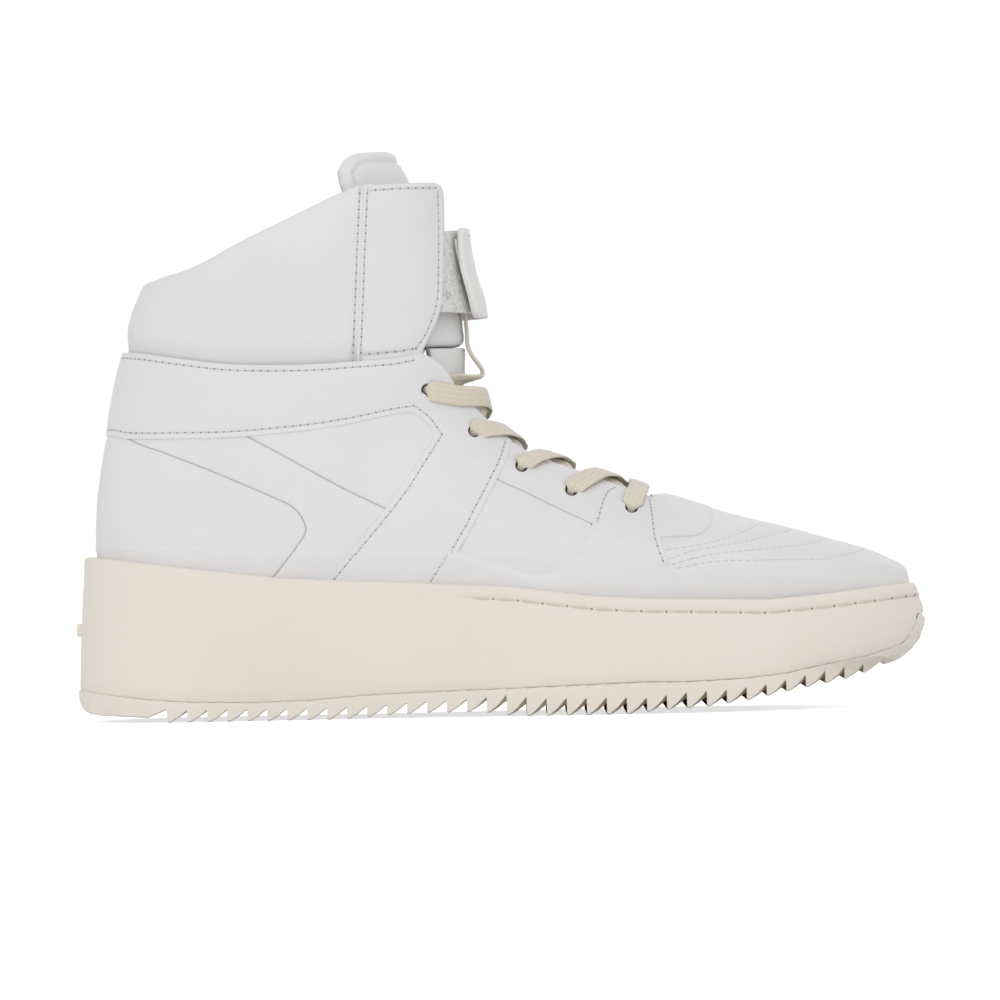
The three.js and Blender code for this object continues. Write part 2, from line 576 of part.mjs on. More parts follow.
// Closed ring round the tongue: across its front face, and back across its rear face.
function tongueRing(along, frontDepth, backDepth) {
  const centre = tongueFront.getPoint(along);
  const tangent = tongueFront.getTangent(along);
  const halfWidth = valueAt(TONGUE.halfWidth, along);
  const wrap = valueAt(TONGUE.wrap, along);
  const face = (depth) => Array.from({ length: TONGUE.steps + 1 }, (_, i) => {
    const across = 1 - 2 * i / TONGUE.steps;
    const back = depth + wrap * across * across;
    const x = centre.x - tangent.y * back;
    const y = middleY(x) + across * (halfWidth - depth * 0.5);
    return new THREE.Vector3(x, y, centre.y + tangent.x * back);
  });
  return [...face(frontDepth), ...reversed(face(backDepth))];
}

function tongueSolid([fromAlong, toAlong], [frontDepth, backDepth], steps) {
  const rings = Array.from({ length: steps + 1 }, (_, i) => {
    const along = fromAlong + (toAlong - fromAlong) * i / steps;
    return tongueRing(along, frontDepth, backDepth);
  });
  return loft(rings, { mirror: -1 });
}

const tongueRoom = inside(TONGUE_CLEARANCE);
const [splitLow, splitHigh] = TONGUE.split;
addPiece('tongue_lower', tongueSolid([0.02, splitLow], [0, 3], 7).intersect(tongueRoom), MATERIALS.leather);
addPiece('tongue_face', tongueSolid([splitHigh, 1], [0, 1.2], 6), MATERIALS.leather);
addPiece('tongue_foam', tongueSolid([TONGUE.padStart, 1], [1.5, 6.7], 6), MATERIALS.foam);
addPiece('tongue_lining', tongueSolid([TONGUE.padStart, 1], [7, 8], 6), MATERIALS.textile);

// ---- Ankle strap ----------------------------------------------------------------------------

// A band round the front of the ankle: from fromX on the medial side to toX on the lateral side.
function frontBand(depths, medialX, lateralX, [bottom, top]) {
  const outline = (x) => [[x, bottom], [30, bottom], [30, top], [x, top]];
  const medial = sidePrism(outline(medialX), -0.1, REACH);
  const lateral = sidePrism(outline(lateralX), -REACH, 0.1);
  return layer(depths).intersect(medial.add(lateral));
}

const strap = frontBand(STRAP, STRAP_ENDS.medial, STRAP_ENDS.lateral, STRAP_HEIGHT);
addPiece('ankle_strap', strap, MATERIALS.strapLeather);
const patchOutline = [[-12, 147], [-12, 171], [30, 171], [30, 147]];
addPiece('hook_patch', layer(HOOK_PATCH).intersect(sideCutter(patchOutline, SIDES.lateral)), MATERIALS.hook);
const tabSideOutline = [[-34, 145], [-34, 174], [-12.5, 174], [-10.5, 145]];
addPiece('loop_tab', layer(LOOP_TAB).intersect(sidePrism(tabSideOutline, -REACH, LOOP_TAB_EDGE)),
  MATERIALS.hook);

// ---- Lace -----------------------------------------------------------------------------------

const eyeletRows = EYELETS.map(([x, z], i) => {
  const { around, level } = locate(x, z, SIDES.medial);
  const rise = CROWN_LEVELS[i] - level;
  return { hole: 1 - around, level, rise, edge: valueAt(throatEdge, level + 0.75 * rise) };
});

function rowOffset({ hole, edge }, place) {
  return place < 0.5 ? edge * place * 2 : edge + (hole - edge) * (place * 2 - 1);
}

function rowLevel({ hole, level, rise }, offset) {
  return level + rise * (1 - (offset / hole) ** 2);
}

// Stop of the lace, whose flat lies along the instep.
function laceStop(offset, level, depth, halfWidth = LACE.halfWidth) {
  const along = throatPoint(offset, level + 0.1, 0).sub(throatPoint(offset, level - 0.1, 0)).normalize();
  return { point: throatPoint(offset, level, depth), along, halfWidth };
}

// Stretch from a hole on the given side to a hole on the other side.
function laceStretch(side, from, to, stops, height = 0) {
  const mix = THREE.MathUtils.lerp;
  const [first, second] = [eyeletRows[from], eyeletRows[to]];
  return stops.map(([place, depth, lift]) => {
    const share = (1 - place) / 2;
    const reach = Math.abs(place);
    const offset = mix(rowOffset(first, reach), rowOffset(second, reach), share);
    const level = mix(rowLevel(first, offset), rowLevel(second, offset), share);
    const halfWidth = reach > 0.98 ? LACE.holeHalfWidth : LACE.halfWidth;
    return laceStop(side * Math.sign(place) * offset, level, depth - lift * height, halfWidth);
  });
}

// From the lowest hole on one side up to the end that is tucked behind the strap. The strand that is
// raised at each crossing has a height of 1 there.
function laceHalf(side, heights) {
  const last = EYELETS.length - 1;
  const stops = [];
  for (let i = last; i > 0; i -= 1) {
    const startSide = side * (-1) ** (last - i);
    stops.push(...laceStretch(startSide, i, i - 1, LACE_CROSSING, heights[last - i]));
  }
  const endSide = side * (-1) ** last;
  const { hole, level } = eyeletRows[0];
  const tail = LACE_END.map(([share, rise, depth, turn]) => {
    const halfWidth = share > 0.98 ? LACE.holeHalfWidth : LACE.halfWidth;
    const stop = laceStop(endSide * hole * share, level + rise, depth, halfWidth);
    stop.along.lerp(new THREE.Vector3(0, endSide, 0), turn);
    return stop;
  });
  return [...stops, ...tail];
}

const lastEyelet = EYELETS.length - 1;
const laceStops = [
  ...reversed(laceHalf(SIDES.lateral, [0, 1, 0, 1])),
  ...laceStretch(SIDES.lateral, lastEyelet, lastEyelet, LACE_BAR),
  ...laceHalf(SIDES.medial, [1, 0, 1, 0]),
];

// Flat band through the stops, with a six-sided section.
function laceSolid(stops) {
  const centres = new THREE.CatmullRomCurve3(stops.map((stop) => stop.point), false, 'centripetal');
  const corners = [[1, 0], [0.75, 1], [-0.75, 1], [-1, 0], [-0.75, -1], [0.75, -1]];
  return loft(stops.map(({ point, along, halfWidth }, i) => {
    const tangent = centres.getTangent(i / (stops.length - 1));
    const across = along.clone().projectOnPlane(tangent).normalize();
    const up = across.clone().cross(tangent);
    return corners.map(([a, b]) => point.clone()
      .addScaledVector(across, a * halfWidth)
      .addScaledVector(up, b * LACE.halfThickness));
  }));
}

// Stiff tip past one end of the lace.
function aglet(end, before) {
  const direction = end.point.clone().sub(before.point).normalize();
  const geometry = new THREE.CylinderGeometry(AGLET.radius, AGLET.radius, AGLET.length, 10);
  const cylinderAxis = new THREE.Vector3(0, 1, 0);
  geometry.applyQuaternion(new THREE.Quaternion().setFromUnitVectors(cylinderAxis, direction));
  geometry.translate(...end.point.clone().addScaledVector(direction, AGLET.length / 2 + GAP));
  return solidOf(geometry);
}

addPiece('lace', laceSolid(laceStops), MATERIALS.cotton);
addPiece('aglet_lateral', aglet(laceStops[0], laceStops[1]), MATERIALS.tip);
addPiece('aglet_medial', aglet(laceStops.at(-1), laceStops.at(-2)), MATERIALS.tip);

export default part;
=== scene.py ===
import math

import bmesh
import bpy
import numpy as np
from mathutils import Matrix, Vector
from mathutils.geometry import delaunay_2d_cdt
from mathutils.kdtree import KDTree


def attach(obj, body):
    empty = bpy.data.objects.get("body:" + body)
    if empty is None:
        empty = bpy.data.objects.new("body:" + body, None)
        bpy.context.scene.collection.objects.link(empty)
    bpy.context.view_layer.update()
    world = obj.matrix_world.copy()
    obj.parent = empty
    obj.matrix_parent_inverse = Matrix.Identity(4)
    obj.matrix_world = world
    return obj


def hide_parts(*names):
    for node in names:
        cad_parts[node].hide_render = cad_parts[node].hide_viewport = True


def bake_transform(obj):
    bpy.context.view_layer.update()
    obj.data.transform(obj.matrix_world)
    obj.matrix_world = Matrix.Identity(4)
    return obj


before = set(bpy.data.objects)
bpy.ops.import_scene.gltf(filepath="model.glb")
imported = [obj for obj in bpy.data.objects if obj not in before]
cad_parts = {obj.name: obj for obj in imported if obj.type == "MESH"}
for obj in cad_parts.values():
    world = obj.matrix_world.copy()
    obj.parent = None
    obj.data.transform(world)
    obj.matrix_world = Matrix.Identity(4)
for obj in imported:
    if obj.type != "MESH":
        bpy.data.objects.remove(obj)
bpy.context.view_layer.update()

MM = 0.001

# ---- Camera, light and floor -----------------------------------------------------------------

VIEW_WIDTH = 0.3605           # metres across the picture, at the middle of the shoe
VIEW_CENTRE = (0.0004, 0.0, 0.0769)
CAMERA_DISTANCE = 3.2
CAMERA_ROLL = math.radians(1.14)
SENSOR = 36.0


def make_camera():
    data = bpy.data.cameras.new("camera")
    data.sensor_width = SENSOR
    data.lens = SENSOR * CAMERA_DISTANCE / VIEW_WIDTH
    data.clip_end = 100
    camera = bpy.data.objects.new("camera", data)
    bpy.context.scene.collection.objects.link(camera)
    camera.location = (VIEW_CENTRE[0], VIEW_CENTRE[1] - CAMERA_DISTANCE, VIEW_CENTRE[2])
    camera.rotation_euler = (math.pi / 2, CAMERA_ROLL, 0)
    bpy.context.scene.camera = camera


def make_area_light(name, location, target, size, power, color=(1, 1, 1)):
    data = bpy.data.lights.new(name, "AREA")
    data.shape = "RECTANGLE"
    data.size, data.size_y = size
    data.energy = power
    data.color = color
    light = bpy.data.objects.new(name, data)
    light.location = location
    direction = Vector(target) - Vector(location)
    light.rotation_euler = direction.to_track_quat("-Z", "Y").to_euler()
    bpy.context.scene.collection.objects.link(light)


def make_world(light_strength, seen_strength):
    """Even white studio: its light, and how bright it looks behind the shoe."""
    world = bpy.data.worlds.new("studio")
    world.use_nodes = True
    nodes, links = world.node_tree.nodes, world.node_tree.links
    background = nodes["Background"]
    background.inputs["Color"].default_value = (1, 1, 1, 1)
    background.inputs["Strength"].default_value = light_strength
    seen = nodes.new("ShaderNodeBackground")
    seen.inputs["Color"].default_value = (1, 1, 1, 1)
    seen.inputs["Strength"].default_value = seen_strength
    mix = nodes.new("ShaderNodeMixShader")
    links.new(nodes.new("ShaderNodeLightPath").outputs["Is Camera Ray"], mix.inputs[0])
    links.new(background.outputs[0], mix.inputs[1])
    links.new(seen.outputs[0], mix.inputs[2])
    links.new(mix.outputs[0], nodes["World Output"].inputs["Surface"])
    bpy.context.scene.world = world


FLOOR_GLOW = 0.72              # makes the floor look as white as the studio behind it


def make_floor():
    mesh = bpy.data.meshes.new("floor")
    half = 12
    mesh.from_pydata([(-half, -half, 0), (half, -half, 0), (half, half, 0), (-half, half, 0)], [],
                     [(0, 1, 2, 3)])
    floor = bpy.data.objects.new("floor", mesh)
    bpy.context.scene.collection.objects.link(floor)
    material = bpy.data.materials.new("floor")
    material.use_nodes = True
    shader = material.node_tree.nodes["Principled BSDF"]
    shader.inputs["Base Color"].default_value = (0.9, 0.9, 0.9, 1)
    shader.inputs["Roughness"].default_value = 1
    shader.inputs["Specular IOR Level"].default_value = 0
    shader.inputs["Emission Color"].default_value = (1, 1, 1, 1)
    nodes, links = material.node_tree.nodes, material.node_tree.links
    glow = nodes.new("ShaderNodeMath")
    glow.operation = "MULTIPLY"
    glow.inputs[1].default_value = FLOOR_GLOW
    links.new(nodes.new("ShaderNodeLightPath").outputs["Is Camera Ray"], glow.inputs[0])
    links.new(glow.outputs[0], shader.inputs["Emission Strength"])
    mesh.materials.append(material)


make_camera()
make_world(0.80, 1.02)
make_floor()
make_area_light("front", (-0.5, -2.4, 1.0), (0, 0, 0.08), (2.2, 1.6), 12)
make_area_light("back", (0.5, 2.4, 1.1), (0, 0, 0.1), (2.2, 1.6), 4)
bpy.context.scene.view_settings.view_transform = "Standard"

# ---- Surface of the upper, in millimetres: the same lines as the CAD part ----------------------

HEEL_MIDDLE_Y = -2.73
TOE_SWING = 6
HEEL = [(-141.5, 20), (-144.9, 58), (-145, 64), (-144.7, 71), (-144.1, 79.8), (-142.9, 88), (-141.3, 97),
        (-139.5, 107), (-137, 119), (-134.1, 131.5), (-130.6, 146), (-125.2, 162), (-121, 180)]
FRONT = [(141, 14), (147.4, 45), (138, 54.2), (110, 63), (76, 72.2), (52.5, 79.8), (31, 88), (12.5, 95.2),
         (-1.5, 106.5), (-5.5, 122), (-6, 144), (-10.8, 170), (-11, 205)]
LEAN = [2.5, 0, 0.3, 1, 2, 3, 4, 5, 5.5, 5, 3.5, 1, 0]
HEEL_RADIUS = [40, 40, 40, 39, 38, 37, 36, 35, 34, 34, 34, 35, 36]
FRONT_RADIUS = [85, 86, 98, 115, 112, 98, 80, 66, 50, 38, 33, 31, 31]
POWER = [2.3, 2.3, 2.25, 2.15, 2.05, 2, 2, 2, 2, 2, 2, 2, 2]
HEEL_POWER = 2.1
HALF_WIDTHS = [(-145, 36), (-110, 36.5), (-60, 35), (-20, 37.5), (20, 43.5), (55, 48.5), (90, 48), (147, 46)]
TOP_RING = len(HEEL) - 1


def spline(points, share):
    """Points at shares 0 to 1 of the uniform Catmull-Rom curve through the given points."""
    points = np.asarray(points, float)
    last = len(points) - 1
    place = np.clip(share, 0, 1) * last
    i = np.minimum(np.floor(place).astype(int), last - 1)
    t = (place - i)[..., None]
    p0, p1, p2, p3 = (points[np.clip(i + k, 0, last)] for k in (-1, 0, 1, 2))
    v0, v1 = (p2 - p0) / 2, (p3 - p1) / 2
    return (2 * p1 - 2 * p2 + v0 + v1) * t ** 3 + (3 * p2 - 3 * p1 - 2 * v0 - v1) * t ** 2 + v0 * t + p1


def value_at(points, x):
    """Values at x of the smooth line through points given as (x, value)."""
    px, pv = np.asarray(points, float).T
    last = len(px) - 1
    i = np.clip(np.searchsorted(px, x, side="left") - 1, 0, last - 1)
    low, high = np.maximum(i - 1, 0), np.minimum(i + 2, last)
    span = px[i + 1] - px[i]
    start = (pv[i + 1] - pv[low]) / (px[i + 1] - px[low])
    end = (pv[high] - pv[i]) / (px[high] - px[i])
    t = np.clip((x - px[i]) / span, 0, 1)
    blend = t * t * (3 - 2 * t)
    return pv[i] * (1 - blend) + pv[i + 1] * blend + span * t * (1 - t) * ((1 - t) * start - t * end)


def by_level(values, level):
    return value_at(list(enumerate(values)), level)


def smoothstep(x, low, high):
    t = np.clip((x - low) / (high - low), 0, 1)
    return t * t * (3 - 2 * t)


def middle_y(x):
    return HEEL_MIDDLE_Y + TOE_SWING * smoothstep(x, -20, 147)


def rounded_end(distance, radius, power):
    q = np.clip(1 - distance / radius, 0, 1)
    return np.maximum(1 - q ** power, 0) ** (1 / power)


def upper_point(around, level):
    """around is 0 at the heel and -1 (lateral) or 1 (medial) at the front; level counts the rings."""
    around, level = np.broadcast_arrays(np.asarray(around, float), np.asarray(level, float))
    turn = np.where(around > 1, around - 2, np.where(around < -1, around + 2, around))
    along = (1 - np.cos(np.pi * np.abs(turn))) / 2
    heel = spline(HEEL, level / TOP_RING)
    front = spline(FRONT, level / TOP_RING)
    length = np.linalg.norm(front - heel, axis=-1)
    x = heel[..., 0] + (front[..., 0] - heel[..., 0]) * along
    z = heel[..., 1] + (front[..., 1] - heel[..., 1]) * along
    half = (value_at(HALF_WIDTHS, x) - by_level(LEAN, level)) \
        * rounded_end(along * length, by_level(HEEL_RADIUS, level), HEEL_POWER) \
        * rounded_end((1 - along) * length, by_level(FRONT_RADIUS, level), by_level(POWER, level))
    return np.stack([x, middle_y(x) + np.sign(turn) * half, z], -1)


def unit(vectors):
    return vectors / np.maximum(np.linalg.norm(vectors, axis=-1, keepdims=True), 1e-9)


def upper_normal(around, level):
    low, high = np.maximum(level - 0.05, 0), np.minimum(level + 0.05, TOP_RING)
    up = upper_point(around, high) - upper_point(around, low)
    turned = upper_point(around + 0.01, level) - upper_point(around - 0.01, level)
    return unit(np.cross(up, turned))


def heel_surface(place, level):
    """Surface of the upper with places counted from the heel."""
    return upper_point(place, level), upper_normal(place, level)


def front_surface(place, level):
    """Surface of the upper with places counted from the middle of the front, lateral negative."""
    around = np.where(place < 0, -1 - place, 1 - place)
    return upper_point(around, level), upper_normal(around, level)


def locate(x, z):
    """Distance round from the heel, 0 to 1, and level of the point that the side view shows at x, z."""
    x, z = np.asarray(x, float), np.asarray(z, float)
    low, high = np.zeros_like(x), np.full_like(x, TOP_RING)
    for _ in range(40):
        level = (low + high) / 2
        heel = spline(HEEL, level / TOP_RING)
        chord = spline(FRONT, level / TOP_RING) - heel
        offset = np.stack([x, z], -1) - heel
        along = np.sum(offset * chord, -1) / np.sum(chord * chord, -1)
        above = chord[..., 0] * offset[..., 1] - chord[..., 1] * offset[..., 0] > 0
        low = np.where(above, level, low)
        high = np.where(above, high, level)
    return np.arccos(1 - 2 * np.clip(along, 0, 1)) / np.pi, low


def level_at_height(around, height):
    """Level at which the surface has a height, for each place round it."""
    around, height = np.broadcast_arrays(np.asarray(around, float), np.asarray(height, float))
    low, high = np.zeros_like(around), np.full_like(around, TOP_RING)
    for _ in range(40):
        level = (low + high) / 2
        below = upper_point(around, level)[..., 2] < height
        low = np.where(below, level, low)
        high = np.where(below, high, level)
    return low


# ---- Lines of the side view, as (x, z) ---------------------------------------------------------

HEEL_X = -160                 # behind the heel: a line that starts here begins on its middle
COLLAR_TOP = [(HEEL_X, 157.6), (-126.2, 158.4), (-119, 160), (-110, 162.2), (-103, 164.8), (-91.6, 170.1),
              (-75.3, 177.8), (-60, 185), (-54, 187.7), (-48.8, 189.6), (-42.5, 190.7)]
COLLAR_UNDER_FLAP = [(-41, 188.5), (-43, 165), (-45, 140), (-46, 123)]
COLLAR_SEAM = [(HEEL_X, 133.2), (-132, 132.4), (-115, 129.9), (-97.6, 127.5), (-80.2, 126.7),
               (-62.7, 126.8), (-50.1, 127.5), (-36.4, 128.3), (-26.6, 130)]
FLAP_SEAM = [(-46.2, 189.8), (-47.8, 164.7), (-49.3, 139.9), (-50.1, 127.5)]
FLAP_FRONT = [(-25.9, 130.3), (-23.7, 135), (-20.4, 141.8), (-18.7, 148.6), (-18.1, 161), (-17.7, 175.9),
              (-17.6, 186.5)]
FLAP_CORNER = [(-17.6, 186.5), (-18, 189.3), (-20.2, 190.7)]
BAND_LOWER = [(HEEL_X, 103), (-137.4, 102.3), (-131.3, 101.2), (-115.6, 100.9), (-94.7, 101),
              (-76.3, 102.2), (-63.1, 103.5), (-50, 105.5), (-36.8, 108.2), (-30.7, 108.5),
              (-26.4, 106), (-23.4, 102.2), (-23, 99.8), (-25.2, 96.2)]
STRIPE_REAR = [(-25.2, 96.2), (-27.6, 92.6), (-34.6, 82.7), (-40.5, 74.7), (-53.6, 59.6), (-61.2, 51),
               (-72, 38)]
STRIPE_FRONT = [(5, 97.4), (2.7, 90.4), (-1.1, 83.1), (-5.7, 74.4), (-11, 64.9), (-17.1, 55.5),
                (-22.4, 47.9), (-30, 37)]
BAND_STITCHES = [(HEEL_X, 105.2), (-137.4, 104.6), (-131.3, 103.5), (-115.6, 103.1), (-94.7, 103.2),
                 (-76.3, 104.4), (-63.1, 105.7), (-50, 107.7), (-36.8, 110.3), (-29.8, 111.2)]
APEX_STITCHES = [(-29.8, 111.2), (-24.5, 107.1), (-20, 100.5)]
STRIPE_STITCHES = [(-20, 100.5), (-25.8, 91.4), (-33.9, 79.3), (-42.8, 68.6), (-51.8, 58.3), (-61, 47.8)]
UNDER_BAND = [(HEEL_X, 108), (-137, 107.4), (-115, 106), (-96, 106.2), (-63, 108.5), (-45, 111.5),
              (-34, 113), (-22, 108.5), (-16.5, 101), (-21, 91), (-34, 71.5), (-47, 56), (-55, 47),
              (-66, 37)]
LINE_A = [(-137, 107.4), (-131.3, 101), (-119.2, 96.1), (-107.1, 91.3), (-94.1, 85.7), (-81.1, 79.8),
          (-73.3, 75.7), (-69.5, 70.4), (-69.1, 66.9), (-72.7, 61.3), (-80.4, 51.4), (-92, 37)]
LINE_B = [(-96, 106.2), (-88.5, 101.1), (-75.5, 93.7), (-66.9, 88.7), (-54.8, 81.9), (-40.5, 74.7),
          (-34, 71.5)]
EYESTAY_LOWER = [(-5.5, 88.5), (0.4, 84.1), (8.4, 80.3), (19.4, 74.6), (27.4, 70.7), (33.2, 67.9)]
WINDOW_LOWER = [(33.2, 67.9), (32.1, 66.2), (28.7, 60.4), (24.1, 54.3), (18.9, 50.7), (13.7, 50.1),
                (8.9, 50.9), (2, 53.9), (-6.7, 56.4), (-14.1, 59.8), (-20, 62.5)]
UNDER_STRIPE = [(0.5, 100.5), (-1.8, 92), (-5.5, 84.7), (-10, 76), (-15.3, 66.5), (-20, 59)]
WING_REAR = [(33.2, 67.9), (34.8, 72.8), (36.2, 76.8), (37.6, 79.3), (40.1, 80.6), (43.8, 80.9)]
WING_FRONT = [(55.9, 75.9), (56.5, 69), (57, 62.8), (59.4, 53.9), (62.5, 44), (64, 37)]
THROAT_EDGE = [(-26.6, 130), (-22, 127.5), (-18.1, 123.4), (-14.5, 117.5), (-10, 112.2), (-5, 106.6),
               (0, 101.6), (5, 97.4), (14.5, 91.8), (24, 88.4), (33, 85), (43.8, 80.9), (55.6, 76)]
VAMP_STITCHES = [
    [(58.6, 58.1), (75.5, 60.4), (83.3, 62.4), (92.7, 66.2)],
    [(59.2, 54.6), (68.2, 57.5), (80.4, 59.2), (89, 60.6), (104.7, 64)],
    [(60.3, 52.6), (71.8, 55.5), (83.2, 56.8), (96.7, 57.8), (107.5, 58.5), (119, 60.8)],
    [(62.5, 51.3), (73.9, 53.3), (83.1, 53.8), (96.7, 53.7), (114.5, 53.5), (121.7, 54.3), (131, 56.6)],
]
EYELETS = [(-24.8, 116.7), (-8.4, 101.6), (8.4, 89), (26, 80.1), (47.3, 73.3)]
EYELET_RADIUS = 2.3
BOTTOM_LEVEL = 0.62           # lower edge of the panels, inside the cupsole
BOARD_LINE = [(-160, 37), (-60, 37), (-10, 29), (35, 24), (95, 24), (160, 32)]
SOCKLINER_TOP = 6.3           # above the board line


def smooth_line(points, step=1.0):
    """Closely spaced points of the centripetal Catmull-Rom curve through the given points."""
    p = np.asarray(points, float)
    p = np.vstack([2 * p[0] - p[1], p, 2 * p[-1] - p[-2]])
    line = []
    for i in range(1, len(p) - 2):
        p0, p1, p2, p3 = p[i - 1:i + 3]
        t0 = 0.0
        t1 = t0 + np.linalg.norm(p1 - p0) ** 0.5
        t2 = t1 + np.linalg.norm(p2 - p1) ** 0.5
        t3 = t2 + np.linalg.norm(p3 - p2) ** 0.5
        count = max(int(np.ceil(np.linalg.norm(p2 - p1) / step)), 1)
        t = np.linspace(t1, t2, count, endpoint=False)[:, None]
        a1 = (t1 - t) / (t1 - t0) * p0 + (t - t0) / (t1 - t0) * p1
        a2 = (t2 - t) / (t2 - t1) * p1 + (t - t1) / (t2 - t1) * p2
        a3 = (t3 - t) / (t3 - t2) * p2 + (t - t2) / (t3 - t2) * p3
        b1 = (t2 - t) / (t2 - t0) * a1 + (t - t0) / (t2 - t0) * a2
        b2 = (t3 - t) / (t3 - t1) * a2 + (t - t1) / (t3 - t1) * a3
        line.append((t2 - t) / (t2 - t1) * b1 + (t - t1) / (t2 - t1) * b2)
    return np.vstack(line + [p[-2][None]])


def on_side(points, side, from_front=False):
    """(place, level) line of a side-view line on one side of the shoe."""
    line = smooth_line(points)
    around, level = locate(line[:, 0], line[:, 1])
    behind = np.flatnonzero(around < 1e-3)
    if len(behind) > 1:
        around, level = np.delete(around, behind[:-1]), np.delete(level, behind[:-1])
    place = 1 - around if from_front else around
    return np.column_stack([side * place, np.maximum(level, BOTTOM_LEVEL)])


def joined(*lines):
    return np.vstack(lines)


def both_sides(half):
    """Closed outline from its lateral half, which starts and ends on the middle of the shoe."""
    return np.vstack([half, (half * [-1, 1])[::-1]])


def moved(points, dx, dz):
    return [(x + dx, z + dz) for x, z in points]


def circle_hole(centre, radius, side, count=20, from_front=False):
    """Outline of a round hole in the upper, in (place, level)."""
    turns = np.linspace(0, 2 * np.pi, count, endpoint=False)
    around, level = locate(centre[0] + radius * np.cos(turns), centre[1] + radius * np.sin(turns))
    place = 1 - around if from_front else around
    return np.column_stack([side * place, level])


# ---- Mesh helpers ----------------------------------------------------------------------------


def make_object(name, vertices, faces, materials, face_materials=None, uv=None, smooth=True):
    """Mesh object from millimetre points, with outward faces."""
    mesh = bpy.data.meshes.new(name)
    mesh.from_pydata((np.asarray(vertices) * MM).tolist(), [], [tuple(map(int, f)) for f in faces])
    for material in materials:
        mesh.materials.append(material)
    if face_materials is not None:
        mesh.polygons.foreach_set("material_index", np.asarray(face_materials, np.int32))
    if uv is not None:
        layer = mesh.uv_layers.new(name="UVMap")
        corners = np.zeros(len(mesh.loops), np.int32)
        mesh.loops.foreach_get("vertex_index", corners)
        layer.data.foreach_set("uv", np.asarray(uv, np.float32)[corners].ravel())
    work = bmesh.new()
    work.from_mesh(mesh)
    bmesh.ops.recalc_face_normals(work, faces=work.faces)
    work.to_mesh(mesh)
    work.free()
    mesh.polygons.foreach_set("use_smooth", np.full(len(mesh.polygons), smooth))
    piece = bpy.data.objects.new(name, mesh)
    bpy.context.scene.collection.objects.link(piece)
    return piece


def place_piece(piece, body="shoe", replaces=()):
    if replaces:
        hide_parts(*replaces)
    if body:
        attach(piece, body)
    return piece


FAR = 1e3                     # farther than anything on the shoe, in mm


def nearest(points, targets):
    """Distance from each point to the nearest target."""
    if len(targets) == 0:
        return np.full(len(points), FAR)
    tree = KDTree(len(targets))
    for i, target in enumerate(targets.tolist()):
        tree.insert(target, i)
    tree.balance()
    return np.array([tree.find(point)[2] for point in points.tolist()])


def inside_outline(points, outline):
    """Which 2D points lie inside a closed 2D outline."""
    x, y = points[:, 0][:, None], points[:, 1][:, None]
    x0, y0 = outline.T
    x1, y1 = np.roll(outline, -1, 0).T
    inside = np.zeros(len(points), bool)
    for i in range(0, len(points), 4000):
        rows = slice(i, i + 4000)
        crosses = (y0 > y[rows]) != (y1 > y[rows])
        rise = np.where(y1 == y0, 1e-12, y1 - y0)
        hit = crosses & (x[rows] < (x1 - x0) * (y[rows] - y0) / rise + x0)
        inside[rows] = hit.sum(1) % 2 == 1
    return inside


def resampled(surface, line, step, closed=False):
    """Points of a (u, v) line at even steps along its length on the surface."""
    line = np.vstack([line, line[:1]]) if closed else line
    points = surface(line[:, 0], line[:, 1])[0]
    lengths = np.concatenate([[0], np.cumsum(np.linalg.norm(np.diff(points, axis=0), axis=1))])
    count = max(int(round(lengths[-1] / step)), 3)
    stops = np.linspace(0, lengths[-1], count, endpoint=not closed)
    return np.column_stack([np.interp(stops, lengths, line[:, k]) for k in (0, 1)])


def gradients(surface, uv):
    """Change of the surface point with u and with v."""
    du, dv = 2e-3, 1e-2
    u, v = uv[:, 0], uv[:, 1]
    along_u = (surface(u + du, v)[0] - surface(u - du, v)[0]) / (2 * du)
    along_v = (surface(u, v + dv)[0] - surface(u, v - dv)[0]) / (2 * dv)
    return along_u, along_v


def sideways(surface, line, distance, closed=False):
    """(u, v) line moved to its left by a distance measured on the surface."""
    if closed:
        steps = np.roll(line, -1, 0) - np.roll(line, 1, 0)
    else:
        steps = np.gradient(line, axis=0)
    along_u, along_v = gradients(surface, line)
    tangent = unit(along_u * steps[:, :1] + along_v * steps[:, 1:])
    left = np.cross(unit(np.cross(along_u, along_v)), tangent) * distance
    uu, uv_, vv = ((a * b).sum(1) for a, b in ((along_u, along_u), (along_u, along_v), (along_v, along_v)))
    lu, lv = (left * along_u).sum(1), (left * along_v).sum(1)
    area = np.maximum(uu * vv - uv_ ** 2, 1e-9)
    return line + np.column_stack([(lu * vv - lv * uv_) / area, (lv * uu - lu * uv_) / area])


def signed_area(outline):
    x, y = outline.T
    return (x * np.roll(y, -1) - y * np.roll(x, -1)).sum() / 2


def undulation(points, wave):
    """Slow, uneven rise and fall from -1 to 1, with the given wavelength."""
    k = 2 * np.pi / wave
    x, y, z = points.T * k
    return (np.sin(x + 0.7 * z + 1.3) * np.sin(0.8 * z - 0.5 * y + 0.4)
            + 0.6 * np.sin(1.9 * x - 1.3 * z + 2.1 + np.sin(0.9 * y))
            + 0.4 * np.sin(2.7 * z + 1.1 * x + 0.6 * y)) / 2


EDGE_STEP = 1.1
EDGE_ROWS = (0.12, 0.4, 0.7, 1.0)
CHANNEL_ROWS = (-1.6, -0.8, 0.0, 0.8, 1.6)
CHANNEL_WIDTH = 0.85
CHANNEL_CLEARANCE = 2.1


